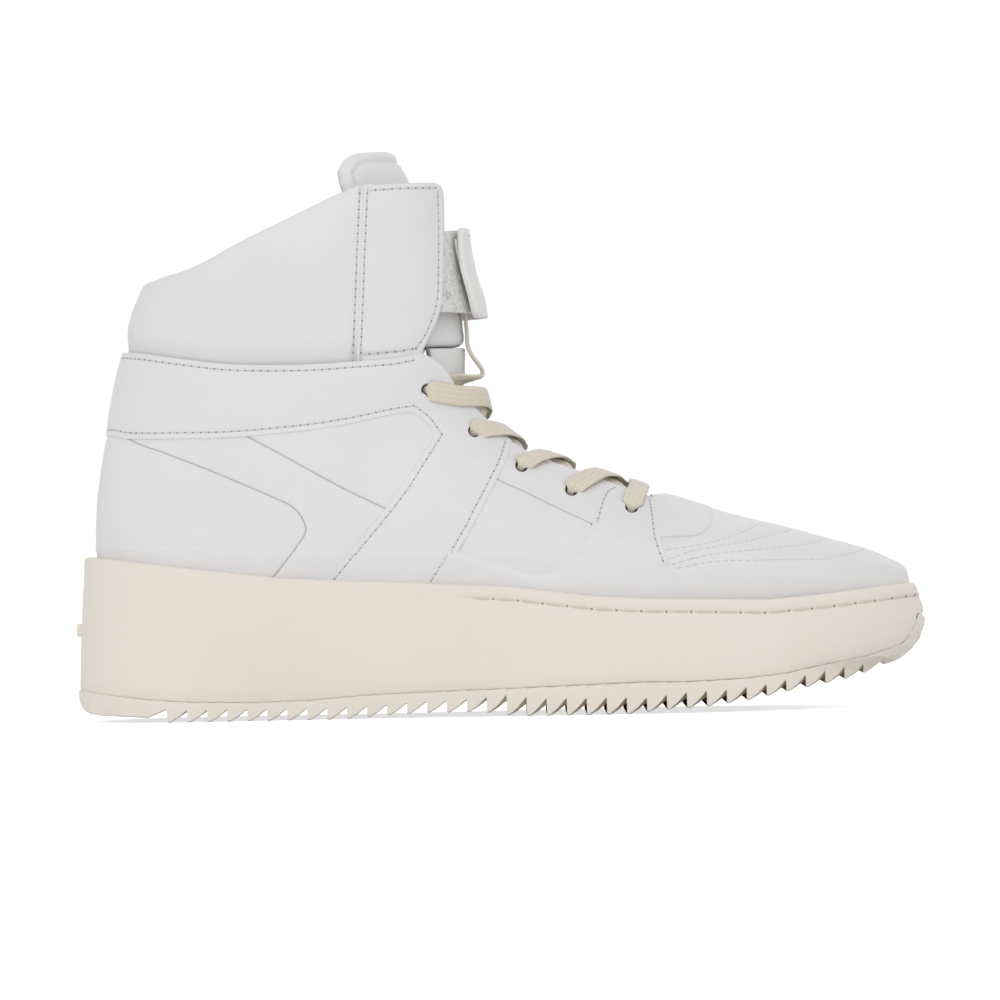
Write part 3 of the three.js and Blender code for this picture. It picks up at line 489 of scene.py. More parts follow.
def slab(name, surface, outline, top, bottom, materials, edge=0.5, under_edge=0.0, spacing=2.0,
         holes=(), channels=(), channel_depth=0.22, shape=None, ripple=0.12):
    """Closed sheet that follows a surface inside a (u, v) outline, between two heights above it.

    edge and under_edge round the rims of the upper and lower faces, channels are (u, v) lines that
    are pressed in, and shape adds a height that depends on the place.
    """
    outline = resampled(surface, outline, EDGE_STEP, closed=True)
    if signed_area(outline) < 0:
        outline = outline[::-1]
    loops = [outline]
    for hole in holes:
        hole = resampled(surface, hole, 0.6, closed=True)
        loops.append(hole[::-1] if signed_area(hole) > 0 else hole)
    rim = np.vstack([surface(loop[:, 0], loop[:, 1])[0] for loop in loops])
    close_rim = np.vstack([
        surface(*resampled(surface, loop, 0.25, closed=True).T)[0] for loop in loops
    ])
    uv_parts, edge_parts, channel_parts, edges = [], [], [], []
    count = 0

    def add_points(points_uv, edge_value, channel_value):
        nonlocal count
        uv_parts.append(points_uv)
        edge_parts.append(np.full(len(points_uv), float(edge_value)))
        channel_parts.append(np.full(len(points_uv), float(channel_value)))
        count += len(points_uv)

    def add_row(points_uv, edge_value, channel_value, closed, keep=None):
        """Adds the kept points of a row, joined by edges where neighbours are both kept."""
        keep = np.ones(len(points_uv), bool) if keep is None else keep
        number = np.cumsum(keep) - 1 + count
        total = len(points_uv)
        for i in range(total if closed else total - 1):
            j = (i + 1) % total
            if keep[i] and keep[j]:
                edges.append((int(number[i]), int(number[j])))
        add_points(points_uv[keep], edge_value, channel_value)

    for loop in loops:
        add_row(loop, 0, FAR, True)
    round_edge = max(edge, under_edge, 0.3)
    for share in EDGE_ROWS:
        for loop in loops:
            inset = sideways(surface, loop, share * round_edge, closed=True)
            gap = nearest(surface(inset[:, 0], inset[:, 1])[0], close_rim)
            add_row(inset, share * round_edge, FAR, True, gap > 0.9 * share * round_edge)
    presses = [resampled(surface, line, 0.9) for line in channels]
    press_points = np.vstack([surface(p[:, 0], p[:, 1])[0] for p in presses]) if presses else np.zeros((0, 3))
    for line in presses:
        for distance in CHANNEL_ROWS:
            row = sideways(surface, line, distance)
            gap = nearest(surface(row[:, 0], row[:, 1])[0], close_rim)
            add_row(row, FAR, abs(distance), False, gap > round_edge + 0.2)
    along_u, along_v = gradients(surface, outline)
    size_u = np.linalg.norm(along_u, axis=1)
    size_v = np.linalg.norm(along_v, axis=1)
    step_u, step_v = spacing / np.percentile(size_u, 90), spacing / np.percentile(size_v, 90)
    low, high = outline.min(0), outline.max(0)
    grid_u, grid_v = np.meshgrid(np.arange(low[0], high[0], step_u), np.arange(low[1], high[1], step_v))
    grid_u = grid_u + step_u / 2 * (np.arange(grid_u.shape[0]) % 2)[:, None]
    grid = np.column_stack([grid_u.ravel(), grid_v.ravel()])
    scale = np.array([size_u.mean(), size_v.mean()])
    grid = grid[inside_outline(grid * scale, outline * scale)]
    grid_points = surface(grid[:, 0], grid[:, 1])[0]
    clear_of_rim = nearest(grid_points, rim) > round_edge + 0.6 * spacing
    clear_of_channels = nearest(grid_points, press_points) > CHANNEL_CLEARANCE
    grid = grid[clear_of_rim & clear_of_channels]
    add_points(grid, FAR, FAR)
    uv = np.vstack(uv_parts)
    flat = uv * scale
    flat_points = [Vector(p) for p in flat]
    result = delaunay_2d_cdt(flat_points, edges, [], 0, 1e-5)
    found = np.array([tuple(p) for p in result[0]])
    source = np.array([origin[0] if origin else -1 for origin in result[3]])
    triangles = np.array(result[2])
    centres = found[triangles].mean(1)
    keep = inside_outline(centres, outline * scale)
    for loop in loops[1:]:
        keep &= ~inside_outline(centres, loop * scale)
    triangles = triangles[keep]
    uv = np.where(source[:, None] >= 0, uv[source], found / scale)
    points, normals = surface(uv[:, 0], uv[:, 1])
    known = source >= 0
    measured_edge = np.where(known, nearest(points, rim), nearest(points, close_rim))
    known_edge = np.minimum(np.concatenate(edge_parts)[source], measured_edge)
    edge_distance = np.where(known, known_edge, measured_edge)
    channel_distance = np.where(known, np.concatenate(channel_parts)[source], FAR)
    channel_distance = np.minimum(channel_distance, nearest(points, press_points))

    def rounding(size):
        if size <= 0:
            return 0
        return size * (1 - np.sqrt(1 - (1 - np.clip(edge_distance / size, 0, 1)) ** 2))

    extra = shape(uv, points, edge_distance) if shape else 0
    extra = extra + ripple * undulation(points, 26) * smoothstep(edge_distance, 0, 6)
    press = channel_depth * np.exp(-(channel_distance / CHANNEL_WIDTH) ** 2)
    top_height = top - rounding(edge) - press + extra
    bottom_height = bottom + rounding(under_edge)
    top_height = np.maximum(top_height, bottom_height + 0.02)
    upper_face = points + normals * top_height[:, None]
    lower_face = points + normals * (np.zeros(len(points)) + bottom_height)[:, None]
    count = len(points)
    faces = [tuple(t) for t in triangles] + [(c + count, b + count, a + count) for a, b, c in triangles]
    indices = [0] * len(triangles) + [len(materials) - 1] * len(triangles)
    pairs = np.vstack([triangles[:, [0, 1]], triangles[:, [1, 2]], triangles[:, [2, 0]]])
    directed = {tuple(pair) for pair in pairs.tolist()}
    for a, b in pairs.tolist():
        if (b, a) not in directed:
            faces.append((b, a, a + count, b + count))
            indices.append(0)
    vertices = np.vstack([upper_face, lower_face])
    used = np.unique(np.concatenate([np.asarray(f) for f in faces]))
    renumber = np.full(len(vertices), -1)
    renumber[used] = np.arange(len(used))
    faces = [tuple(renumber[list(f)]) for f in faces]
    return make_object(name, vertices[used], faces, materials, indices)


def grid_faces(rows, columns, closed_rows=False, closed_columns=False):
    """Quads between the points of a grid that is stored row by row."""
    faces = []
    for r in range(rows if closed_rows else rows - 1):
        for c in range(columns if closed_columns else columns - 1):
            r2, c2 = (r + 1) % rows, (c + 1) % columns
            faces.append((r * columns + c, r * columns + c2, r2 * columns + c2, r2 * columns + c))
    return faces


def lofted(name, rings, materials, **options):
    """Closed body through a stack of rings with equal numbers of points."""
    rings = np.asarray(rings)
    rows, columns = rings.shape[:2]
    faces = grid_faces(rows, columns, closed_columns=True)
    faces.append(tuple(range(columns))[::-1])
    faces.append(tuple((rows - 1) * columns + i for i in range(columns)))
    return make_object(name, rings.reshape(-1, 3), faces, materials, **options)


# ---- Materials ---------------------------------------------------------------------------------


class Look:
    """Material with a Principled shader and short calls for its texture nodes."""

    def __init__(self, name, roughness, sheen=0.0, specular=0.5):
        self.material = bpy.data.materials.new(name)
        self.material.use_nodes = True
        self.nodes = self.material.node_tree.nodes
        self.links = self.material.node_tree.links
        self.shader = self.nodes["Principled BSDF"]
        self.shader.inputs["Roughness"].default_value = roughness
        self.shader.inputs["Sheen Weight"].default_value = sheen
        self.shader.inputs["Specular IOR Level"].default_value = specular
        self.place = self.nodes.new("ShaderNodeTexCoord").outputs["Object"]
        self.normal = None

    def node(self, kind, inputs, **settings):
        node = self.nodes.new(kind)
        for key, value in settings.items():
            setattr(node, key, value)
        for key, value in inputs.items():
            if isinstance(value, bpy.types.NodeSocket):
                self.links.new(value, node.inputs[key])
            else:
                node.inputs[key].default_value = value
        return node

    def noise(self, scale, detail=3.0, place=None, roughness=0.5):
        return self.node("ShaderNodeTexNoise", {
            "Vector": place or self.place, "Scale": scale, "Detail": detail, "Roughness": roughness,
        }).outputs["Fac"]

    def cells(self, scale, place=None, feature="F1", randomness=1.0):
        return self.node("ShaderNodeTexVoronoi", {
            "Vector": place or self.place, "Scale": scale, "Randomness": randomness,
        }, feature=feature).outputs["Distance"]

    def ramp(self, value, low, high, to_low, to_high):
        return self.node("ShaderNodeMapRange", {
            "Value": value, "From Min": low, "From Max": high, "To Min": to_low, "To Max": to_high,
        }).outputs["Result"]

    def math(self, operation, a, b=0.0):
        return self.node("ShaderNodeMath", {0: a, 1: b}, operation=operation).outputs[0]

    def mix_colors(self, share, first, second):
        node = self.node("ShaderNodeMix", {}, data_type="RGBA")
        self.links.new(share, node.inputs["Factor"])
        for key, value in ((6, first), (7, second)):
            if isinstance(value, bpy.types.NodeSocket):
                self.links.new(value, node.inputs[key])
            else:
                node.inputs[key].default_value = (*value, 1)
        return node.outputs[2]

    def color(self, value):
        self.links.new(value, self.shader.inputs["Base Color"])

    def roughness(self, value):
        self.links.new(value, self.shader.inputs["Roughness"])

    def bump(self, height, strength, distance):
        inputs = {"Height": height, "Strength": strength, "Distance": distance}
        if self.normal is not None:
            inputs["Normal"] = self.normal
        self.normal = self.node("ShaderNodeBump", inputs).outputs["Normal"]
        self.links.new(self.normal, self.shader.inputs["Normal"])


def leather_look(name, light, dark, roughness=0.47, grain=1.0):
    look = Look(name, roughness, specular=0.45)
    tone = look.noise(22, 4)
    fine = look.noise(240, 5)
    base = look.mix_colors(look.ramp(tone, 0.3, 0.7, 0, 1), dark, light)
    pores = look.cells(1150)
    look.color(look.mix_colors(look.ramp(pores, 0.0, 0.28, 0.12, 0.0), base, [c * 0.86 for c in dark]))
    look.roughness(look.ramp(fine, 0.3, 0.7, roughness - 0.06, roughness + 0.08))
    look.bump(look.noise(60, 3), 0.25, 0.0006)
    look.bump(look.cells(900, feature="DISTANCE_TO_EDGE"), 0.22 * grain, 0.00012)
    look.bump(look.noise(2400, 2), 0.12 * grain, 0.0001)
    return look.material


def rubber_look(name, light, dark, painted_shade=None):
    look = Look(name, 0.6, specular=0.35)
    tone = look.noise(16, 4)
    color = look.mix_colors(look.ramp(tone, 0.3, 0.7, 0, 1), dark, light)
    specks = look.ramp(look.noise(900, 3), 0.62, 0.75, 0, 0.1)
    color = look.mix_colors(specks, color, [c * 0.85 for c in dark])
    # Painted shade: a dark brown mixed into the low forefoot, standing in for the shadow in the gaps between
    # the teeth.
    if painted_shade is not None:
        axes = look.node("ShaderNodeSeparateXYZ", {"Vector": look.place})
        forefoot = look.ramp(axes.outputs["X"], -0.02, 0.03, 0, 1)
        low = look.ramp(axes.outputs["Z"], 0.004, 0.014, 1, 0.35)
        share = look.math("MULTIPLY", look.math("MULTIPLY", forefoot, low), look.noise(90, 3))
        color = look.mix_colors(share, color, painted_shade)
    look.color(color)
    look.roughness(look.ramp(look.noise(120, 4), 0.3, 0.7, 0.52, 0.68))
    look.bump(look.noise(40, 2), 0.15, 0.0008)
    look.bump(look.noise(1600, 3), 0.2, 0.0001)
    return look.material


def textile_look(name, light, dark, thread=1500.0, rough=0.9):
    look = Look(name, rough, sheen=0.25, specular=0.2)
    waves = [
        look.node("ShaderNodeTexWave", {
            "Vector": look.place, "Scale": thread / 3, "Distortion": 0.6, "Detail": 1.0,
        }, wave_type="BANDS", bands_direction=direction).outputs["Fac"]
        for direction in ("X", "Z")
    ]
    weave = look.math("MULTIPLY", waves[0], waves[1])
    tone = look.math("MULTIPLY", weave, look.ramp(look.noise(90, 3), 0.3, 0.7, 0.7, 1))
    look.color(look.mix_colors(tone, dark, light))
    look.bump(weave, 0.5, 0.0002)
    look.bump(look.noise(500, 4), 0.3, 0.0002)
    return look.material


def lace_look(name, light, dark):
    """Flat herringbone weave. The mesh's UV map is in millimetres, across and along the lace."""
    look = Look(name, 0.92, sheen=0.4, specular=0.15)
    uv = look.nodes["Texture Coordinate"].outputs["UV"]
    axes = look.node("ShaderNodeSeparateXYZ", {"Vector": uv})
    fold = look.math("ABSOLUTE", look.math("SUBTRACT", look.math("FRACT", look.math(
        "MULTIPLY", axes.outputs["X"], 0.55)), 0.5))
    slant = look.math("ADD", look.math("MULTIPLY", axes.outputs["Y"], 0.9), look.math("MULTIPLY", fold, 2.2))
    ribs = look.math("ABSOLUTE", look.math("SINE", look.math("MULTIPLY", slant, math.pi)))
    wales = look.math("ABSOLUTE", look.math("SINE", look.math("MULTIPLY", axes.outputs["X"], 0.55 * math.pi)))
    weave = look.math("MULTIPLY", ribs, look.math("ADD", look.math("MULTIPLY", wales, 0.5), 0.5))
    tone = look.math("MULTIPLY", weave, look.ramp(look.noise(300, 3), 0.3, 0.7, 0.75, 1))
    look.color(look.mix_colors(look.ramp(tone, 0, 0.8, 0, 1), dark, light))
    look.bump(weave, 0.55, 0.0003)
    look.bump(look.noise(1500, 3), 0.3, 0.0001)
    return look.material


def plain_look(name, light, dark, roughness, scale=200, metallic=0.0):
    look = Look(name, roughness, specular=0.4)
    look.shader.inputs["Metallic"].default_value = metallic
    look.color(look.mix_colors(look.ramp(look.noise(scale, 4), 0.3, 0.7, 0, 1), dark, light))
    look.roughness(look.ramp(look.noise(scale * 3, 3), 0.3, 0.7, roughness - 0.06, roughness + 0.06))
    look.bump(look.noise(scale * 5, 3), 0.25, 0.0002)
    return look.material


LEATHER = leather_look("white_leather", (0.80, 0.795, 0.80), (0.765, 0.76, 0.765))
TOE_LEATHER = leather_look("vamp_leather", (0.80, 0.795, 0.795), (0.76, 0.755, 0.755), 0.44, 0.8)
STRAP_LEATHER = leather_look("strap_leather", (0.82, 0.81, 0.795), (0.79, 0.78, 0.765), 0.5)
RUBBER = rubber_look("cream_rubber", (0.835, 0.785, 0.70), (0.81, 0.76, 0.672))
# Tan underside faces of the tread, with painted shade (dark brown) in the forefoot recesses.
TREAD_UNDERSIDE_SHADED = rubber_look("tread_underside_painted_shade", (0.66, 0.56, 0.41), (0.60, 0.50, 0.36), (0.28, 0.17, 0.09))
LINING_TEXTILE = textile_look("lining_textile", (0.80, 0.79, 0.77), (0.66, 0.65, 0.62))
COTTON = lace_look("cotton_lace", (0.84, 0.79, 0.66), (0.66, 0.60, 0.47))
THREAD = textile_look("sewing_thread", (0.82, 0.81, 0.80), (0.68, 0.67, 0.66), 4000.0, 0.7)
SOLE_THREAD = textile_look("sole_thread", (0.80, 0.755, 0.66), (0.72, 0.67, 0.57), 3000.0, 0.8)
# Painted shade: dark grey for the domes at the needle holes, where the hole's shadow falls.
NEEDLE_HOLE_SHADE = plain_look("needle_hole_painted_shade", (0.34, 0.335, 0.33), (0.27, 0.265, 0.26), 0.9)
HOOK_LOOP = textile_look("hook_and_loop", (0.88, 0.875, 0.86), (0.80, 0.79, 0.77), 2600.0, 0.95)
# Painted shade: brownish dark for the domes at the sole's needle holes, standing in for the shadow under the
# thread.
SOLE_HOLE_SHADE = plain_look("sole_needle_hole_painted_shade", (0.46, 0.39, 0.28), (0.40, 0.33, 0.23), 0.9)
FIBRE = textile_look("loop_fibres", (0.90, 0.895, 0.88), (0.84, 0.835, 0.82), 3000.0, 0.9)
TIP = plain_look("lace_tip", (0.80, 0.76, 0.66), (0.76, 0.72, 0.62), 0.3)
FOAM = plain_look("open_foam", (0.70, 0.68, 0.60), (0.60, 0.58, 0.50), 0.95, 900)
BOARD = plain_look("fibre_board", (0.50, 0.40, 0.28), (0.40, 0.32, 0.22), 0.85, 500)
STIFFENER = plain_look("stiffener_sheet", (0.62, 0.58, 0.50), (0.55, 0.51, 0.44), 0.7, 300)
STEEL = plain_look("shank_steel", (0.55, 0.55, 0.56), (0.45, 0.45, 0.46), 0.35, 400, 1.0)

# ---- Leather panels ----------------------------------------------------------------------------

SIDES = {"lateral": -1, "medial": 1}
BAND_HEIGHT = 0.8
WING_HEIGHT = 0.7
EYESTAY_HEIGHT = 0.4
PANEL_THICKNESS = 1.3
PUNCH = 0.5                   # rounding of a punched or cut edge


def panel(name, surface, outline, height, node_names, material=None, **options):
    material = material or LEATHER
    piece = slab(name, surface, outline, height, height - PANEL_THICKNESS, [material], **options)
    return place_piece(piece, replaces=node_names)


stitch_rows = []              # (surface, line, height) of every row of small stitches


def sew(surface, line, height):
    stitch_rows.append((surface, line, height))


def make_heel_panel():
    half = joined(on_side([(HEEL_X, 108), (-137, 107.4)], -1), on_side(LINE_A, -1),
                  [[0, BOTTOM_LEVEL]])
    panel("heel_panel_leather", heel_surface, both_sides(half), 0, ["heel_panel"], edge=1.0,
          shape=lambda uv, p, d: 0.5 * smoothstep(d, 0, 9) * smoothstep(p[:, 2], 50, 75))


def make_quarters():
    for side_name, side in SIDES.items():
        upper_edge = on_side(UNDER_BAND[1:4], side)
        outline = joined(on_side(LINE_A, side)[::-1], upper_edge, on_side(LINE_B, side),
                         on_side(UNDER_BAND[-4:], side))
        panel(f"quarter_middle_{side_name}_leather", heel_surface, outline, 0,
              [f"quarter_middle_{side_name}"], edge=1.0)
        outline = joined(on_side(LINE_B, side), on_side(UNDER_BAND[3:11], side)[::-1])
        panel(f"quarter_upper_{side_name}_leather", heel_surface, outline, 0,
              [f"quarter_upper_{side_name}"], edge=1.0,
              shape=lambda uv, p, d: 0.4 * smoothstep(d, 0, 9))


def make_ankle_band():
    half = joined(on_side(COLLAR_SEAM, -1), on_side(THROAT_EDGE[:8], -1), on_side(STRIPE_FRONT, -1),
                  on_side(STRIPE_REAR, -1)[::-1], on_side(BAND_LOWER, -1)[::-1])
    rows = []
    for side in SIDES.values():
        rows.append(on_side(moved(COLLAR_SEAM[:-1] + [(-29.5, 129.6)], 0, -2.1), side))
        rows.append(on_side(BAND_STITCHES, side))
        rows.append(on_side(APEX_STITCHES, side))
        rows.append(on_side(STRIPE_STITCHES, side))
        rows.append(on_side(moved(STRIPE_FRONT[:-1], -2.4, 0.6), side))
    for row in rows:
        sew(heel_surface, row, BAND_HEIGHT)
    holes = [circle_hole(centre, EYELET_RADIUS, side) for side in SIDES.values() for centre in EYELETS[:2]]
    panel("ankle_band_leather", heel_surface, both_sides(half), BAND_HEIGHT, ["ankle_band"], edge=PUNCH,
          holes=holes, channels=rows, spacing=2.2,
          shape=lambda uv, p, d: 0.35 * smoothstep(d, 0, 10))


def make_mid_quarters():
    under_wing = moved(WINDOW_LOWER, 0.6, -1.8)
    for side_name, side in SIDES.items():
        outline = joined(on_side(EYESTAY_LOWER, side)[:-1], on_side(under_wing, side)[:-1],
                         on_side(UNDER_STRIPE[2:], side)[::-1])
        panel(f"mid_quarter_{side_name}_leather", heel_surface, outline, -0.1,
              [f"mid_quarter_{side_name}"], edge=0.5,
              shape=lambda uv, p, d: 0.5 * smoothstep(d, 0, 8))


def make_front_eyestays():
    lower = EYESTAY_LOWER[:-1] + [(35.5, 66.8)]
    under_wing = [(35.5, 66.8), (38.5, 73), (41.5, 78.5), (45.6, 80.1)]
    for side_name, side in SIDES.items():
        outline = joined(on_side(lower, side), on_side(under_wing, side)[1:],
                         on_side(THROAT_EDGE[7:12], side)[::-1], on_side(UNDER_STRIPE[:3], side))
        rows = [on_side(moved(EYESTAY_LOWER[1:-1], 0.7, 1.8), side)]
        holes = [circle_hole(centre, EYELET_RADIUS, side) for centre in EYELETS[2:4]]
        panel(f"front_eyestay_{side_name}_leather", heel_surface, outline, EYESTAY_HEIGHT,
              [f"front_eyestay_{side_name}"], edge=PUNCH, holes=holes, channels=rows, spacing=1.8)


def wing_relief(side):
    """The wing sinks to the mid quarter along the window, and to the vamp low on its front edge."""
    window = heel_surface(*resampled(heel_surface, on_side(WINDOW_LOWER[1:], side), 0.8).T)[0]
    front = heel_surface(*resampled(heel_surface, on_side(WING_FRONT, side), 0.8).T)[0]

    def relief(uv, p, d):
        at_window = 1 - smoothstep(nearest(p, window), 0, 2.4)
        at_front = (1 - smoothstep(nearest(p, front), 0, 8)) * (1 - smoothstep(p[:, 2], 50, 56))
        return 0.3 * smoothstep(d, 0, 10) - 0.6 * at_window - 0.65 * at_front

    return relief


def make_wings():
    for side_name, side in SIDES.items():
        outline = joined(on_side(WING_REAR, side), on_side(THROAT_EDGE[11:], side)[1:],
                         on_side(WING_FRONT, side), on_side([(-30, 37), (-24, 47.9), (-20, 62.5)], side),
                         on_side(WINDOW_LOWER, side)[::-1][1:-1])
        rows = [on_side(moved(WING_REAR[:-1], 1.3, -0.5), side),
                on_side(moved(WING_FRONT[:-2], -2.1, 0), side)]
        for row in rows:
            sew(heel_surface, row, WING_HEIGHT)
        panel(f"wing_{side_name}_leather", heel_surface, outline, WING_HEIGHT, [f"wing_{side_name}"],
              edge=0.6, holes=[circle_hole(EYELETS[4], EYELET_RADIUS, side)], channels=rows,
              shape=wing_relief(side))


def vamp_relief(points):
    """Quilting over the toe and slight flex creases behind it."""
    x, z = points[:, 0], points[:, 2]
    quilting = 0.35 * smoothstep(z, 50, 56) * smoothstep(x, 62, 80)
    return quilting + 0.12 * np.sin(x / 5.2) * smoothstep(x, 60, 75) * (1 - smoothstep(x, 85, 105))


def vamp_stitch_surface(place, level):
    points, normals = front_surface(place, level)
    return points + normals * (vamp_relief(points) - 0.2)[:, None], normals


def make_vamp():
    throat_end = on_side([THROAT_EDGE[-1], (56, 75.8)], -1, from_front=True)[:1]
    hidden = [(51.5, 75.5), (52, 69), (52.5, 62.8), (55, 53.9), (59, 42), (60, 37)]
    half = joined([[0, throat_end[0, 1]]], throat_end, on_side(hidden, -1, from_front=True),
                  [[0, BOTTOM_LEVEL]])
    rows = []
    for side in SIDES.values():
        for line in VAMP_STITCHES:
            rows.append(on_side(line, side, from_front=True))
    for row in rows:
        sew(vamp_stitch_surface, row, 0)
    panel("vamp_leather", front_surface, both_sides(half), 0, ["vamp"], material=TOE_LEATHER, edge=0.4,
          channels=rows, channel_depth=0.25, spacing=1.9, ripple=0.04,
          shape=lambda uv, p, d: vamp_relief(p))


def make_vamp_tab():
    lower = [(54.6, 77.6), (54.6, 70), (54.8, 62.6)]
    nose = [(54.8, 62.6), (64, 62.5), (69.9, 62.7), (73.2, 64), (75.2, 66.6), (76.2, 70), (76.4, 74)]
    rear = on_side(lower, -1, from_front=True)
    half = joined([[0, rear[0, 1]]], rear[:-1], on_side(nose, -1, from_front=True))
    half[-1, 0] = 0
    inner = [(58.5, 64.3), (69.6, 64.4), (72.6, 65.6), (74.2, 68.2), (74.8, 71)]
    rows = [on_side(inner, side, from_front=True) for side in SIDES.values()]
    panel("vamp_tab_leather", front_surface, both_sides(half), 1.0, ["vamp_tab"], edge=0.5,
          channels=rows, channel_depth=0.25, spacing=1.5,
          shape=lambda uv, p, d: 0.3 * smoothstep(d, 0, 6) - 0.62 * (1 - smoothstep(p[:, 0], 55, 61)))


def make_collar():
    half = joined(on_side(COLLAR_TOP, -1), on_side(COLLAR_UNDER_FLAP, -1),
                  on_side(moved(COLLAR_SEAM[:-2], 0, -4), -1)[::-1])
    seam = [on_side(COLLAR_SEAM[:-1], side) for side in SIDES.values()]
    seam_points = np.vstack([heel_surface(*resampled(heel_surface, s, 2.0).T)[0] for s in seam])
    rows = [on_side(moved(FLAP_SEAM, -1.1, 0), side) for side in SIDES.values()]
    for row in rows:
        sew(heel_surface, row, -0.2)

    def padding(uv, p, d):
        pulled = np.exp(-(nearest(p, seam_points) / 5) ** 2)
        return 0.9 * smoothstep(d, 0, 14) - 1.3 * pulled

    piece = slab("padded_collar", heel_surface, both_sides(half), -0.4, -9.2, [LEATHER, LINING_TEXTILE],
                 edge=2.8, under_edge=4.2, spacing=2.2, channels=rows, channel_depth=0.4, shape=padding,
                 ripple=0.1)
    place_piece(piece, replaces=["collar_rear", "collar_foam", "collar_lining"])


def flap_relief(uv, points, edge_distance):
    """Slight padding, and a lower edge that sinks behind the ankle band."""
    return 0.5 * smoothstep(edge_distance, 3, 12) - 0.9 * (1 - smoothstep(points[:, 2], 127, 134))


def make_flaps():
    for side_name, side in SIDES.items():
        outline = joined(on_side(FLAP_SEAM + [(-50.4, 123.5)], side),
                         on_side([(-50.4, 123.5), (-38, 124), (-24.2, 126)], side)[1:],
                         on_side(FLAP_FRONT, side), on_side(FLAP_CORNER, side)[1:],
                         on_side([FLAP_CORNER[-1], (-33, 190.4), FLAP_SEAM[0]], side)[1:-1])
        rows = [on_side(moved(FLAP_SEAM, 1.7, 0), side),
                on_side([(-44.5, 188), (-32, 188.6), (-20.5, 188.8)], side),
                on_side([(-19.9, 188.3), (-19.8, 175.9), (-20.1, 161), (-20.8, 148.6), (-22.6, 142),
                         (-25.9, 135.3), (-28.6, 131.5)], side),
                on_side([(-48, 129.8), (-36.4, 130.5), (-29.5, 131.4)], side)]
        for row in rows:
            sew(heel_surface, row, 0.45)
        piece = slab(f"collar_flap_{side_name}_leather", heel_surface, outline, 0.45, -4.1,
                     [LEATHER, LINING_TEXTILE], edge=1.2, under_edge=1.6, channels=rows, ripple=0.2,
                     shape=flap_relief)
        place_piece(piece,
                    replaces=[f"collar_flap_{side_name}", f"flap_lining_{side_name}"])


def make_linings():
    top, bottom = -2.8, -3.8
    throat = [(x, z) for x, z in THROAT_EDGE]
    half = joined(on_side(moved(COLLAR_SEAM[:-1], 0, -2), -1), on_side(throat, -1),
                  on_side([(55.6, 74.5), (56, 60), (57, 45), (57.5, 36)], -1), [[0, BOTTOM_LEVEL]])
    holes = [circle_hole(centre, EYELET_RADIUS + 0.4, side) for side in SIDES.values() for centre in EYELETS]
    piece = slab("quarter_lining_textile", heel_surface, both_sides(half), top, bottom, [LINING_TEXTILE],
                 edge=0.3, spacing=3.0, holes=holes, ripple=0)
    place_piece(piece,
                replaces=["heel_lining", "quarter_lining_lateral", "quarter_lining_medial"])
    rear = on_side([(57.6, 76.5), (57.8, 60), (58.2, 45), (58.5, 36)], -1, from_front=True)
    half = joined([[0, rear[0, 1]]], rear, [[0, BOTTOM_LEVEL]])
    piece = slab("vamp_lining_textile", front_surface, both_sides(half), top, bottom, [LINING_TEXTILE],
                 edge=0.3, spacing=3.5, ripple=0)
    place_piece(piece, replaces=["vamp_lining"])


def sockliner_surface(x, y):
    z = value_at([(px, pz + SOCKLINER_TOP) for px, pz in BOARD_LINE], x)
    cup = 1.2 * ((y - middle_y(x)) / 30) ** 4 * (1 - smoothstep(x, -60, 20))
    points = np.stack([x, y, z + cup], -1)
    return points, np.broadcast_to([0.0, 0.0, 1.0], points.shape)


def make_sockliner():
    around = np.linspace(-1, 1, 240, endpoint=False)
    level = np.full(len(around), 0.5)
    for _ in range(6):
        x = upper_point(around, level)[:, 0]
        level = level_at_height(around, value_at(BOARD_LINE, x) + SOCKLINER_TOP)
    ring = upper_point(around, level) - upper_normal(around, level) * 4.5
    piece = slab("sockliner_textile", sockliner_surface, ring[:, :2], 0, -3.6, [LINING_TEXTILE], edge=1.2,
                 spacing=4.0, ripple=0.2)
    place_piece(piece, replaces=["sockliner"])


# ---- Tongue ------------------------------------------------------------------------------------

TONGUE_FRONT = [(58, 69.5), (44, 75.8), (28.5, 81.3), (10, 89.6), (-5.5, 101.5), (-11.2, 114), (-11, 125),
                (-11, 135), (-14, 147), (-19, 160), (-26.5, 180), (-35.3, 204)]
TONGUE_HALF_WIDTH = [(0, 19), (0.3, 25), (0.6, 22.5), (1, 26.5)]
TONGUE_WRAP = [(0, 4), (0.3, 8), (0.6, 13), (0.75, 16), (1, 21.5)]
TONGUE_SEAM = 0.612           # share of the tongue's length below its padded top
TONGUE_RIM = 4.4              # width of the padded roll round the top
TONGUE_LENGTH = 190


def tongue_surface(across, along):
    """Front face of the tongue; across runs from -1 (lateral) to 1, along from the root to the top."""
    centre = spline(TONGUE_FRONT, along)
    inner = np.clip(along, 2e-3, 1 - 2e-3)
    tangent = unit(spline(TONGUE_FRONT, inner + 1e-3) - spline(TONGUE_FRONT, inner - 1e-3))
    past_end = np.maximum(along - 1, 0)[..., None] * TONGUE_LENGTH
    centre = centre + tangent * past_end
    back = value_at(TONGUE_WRAP, along) * across ** 2
    x = centre[..., 0] - tangent[..., 1] * back
    z = centre[..., 1] + tangent[..., 0] * back
    y = middle_y(x) + across * value_at(TONGUE_HALF_WIDTH, along)
    bend = 2 * value_at(TONGUE_WRAP, along) * across / value_at(TONGUE_HALF_WIDTH, along)
    slope = np.stack([tangent[..., 1], bend, -tangent[..., 0]], -1)
    return np.stack([x, y, z], -1), unit(slope)


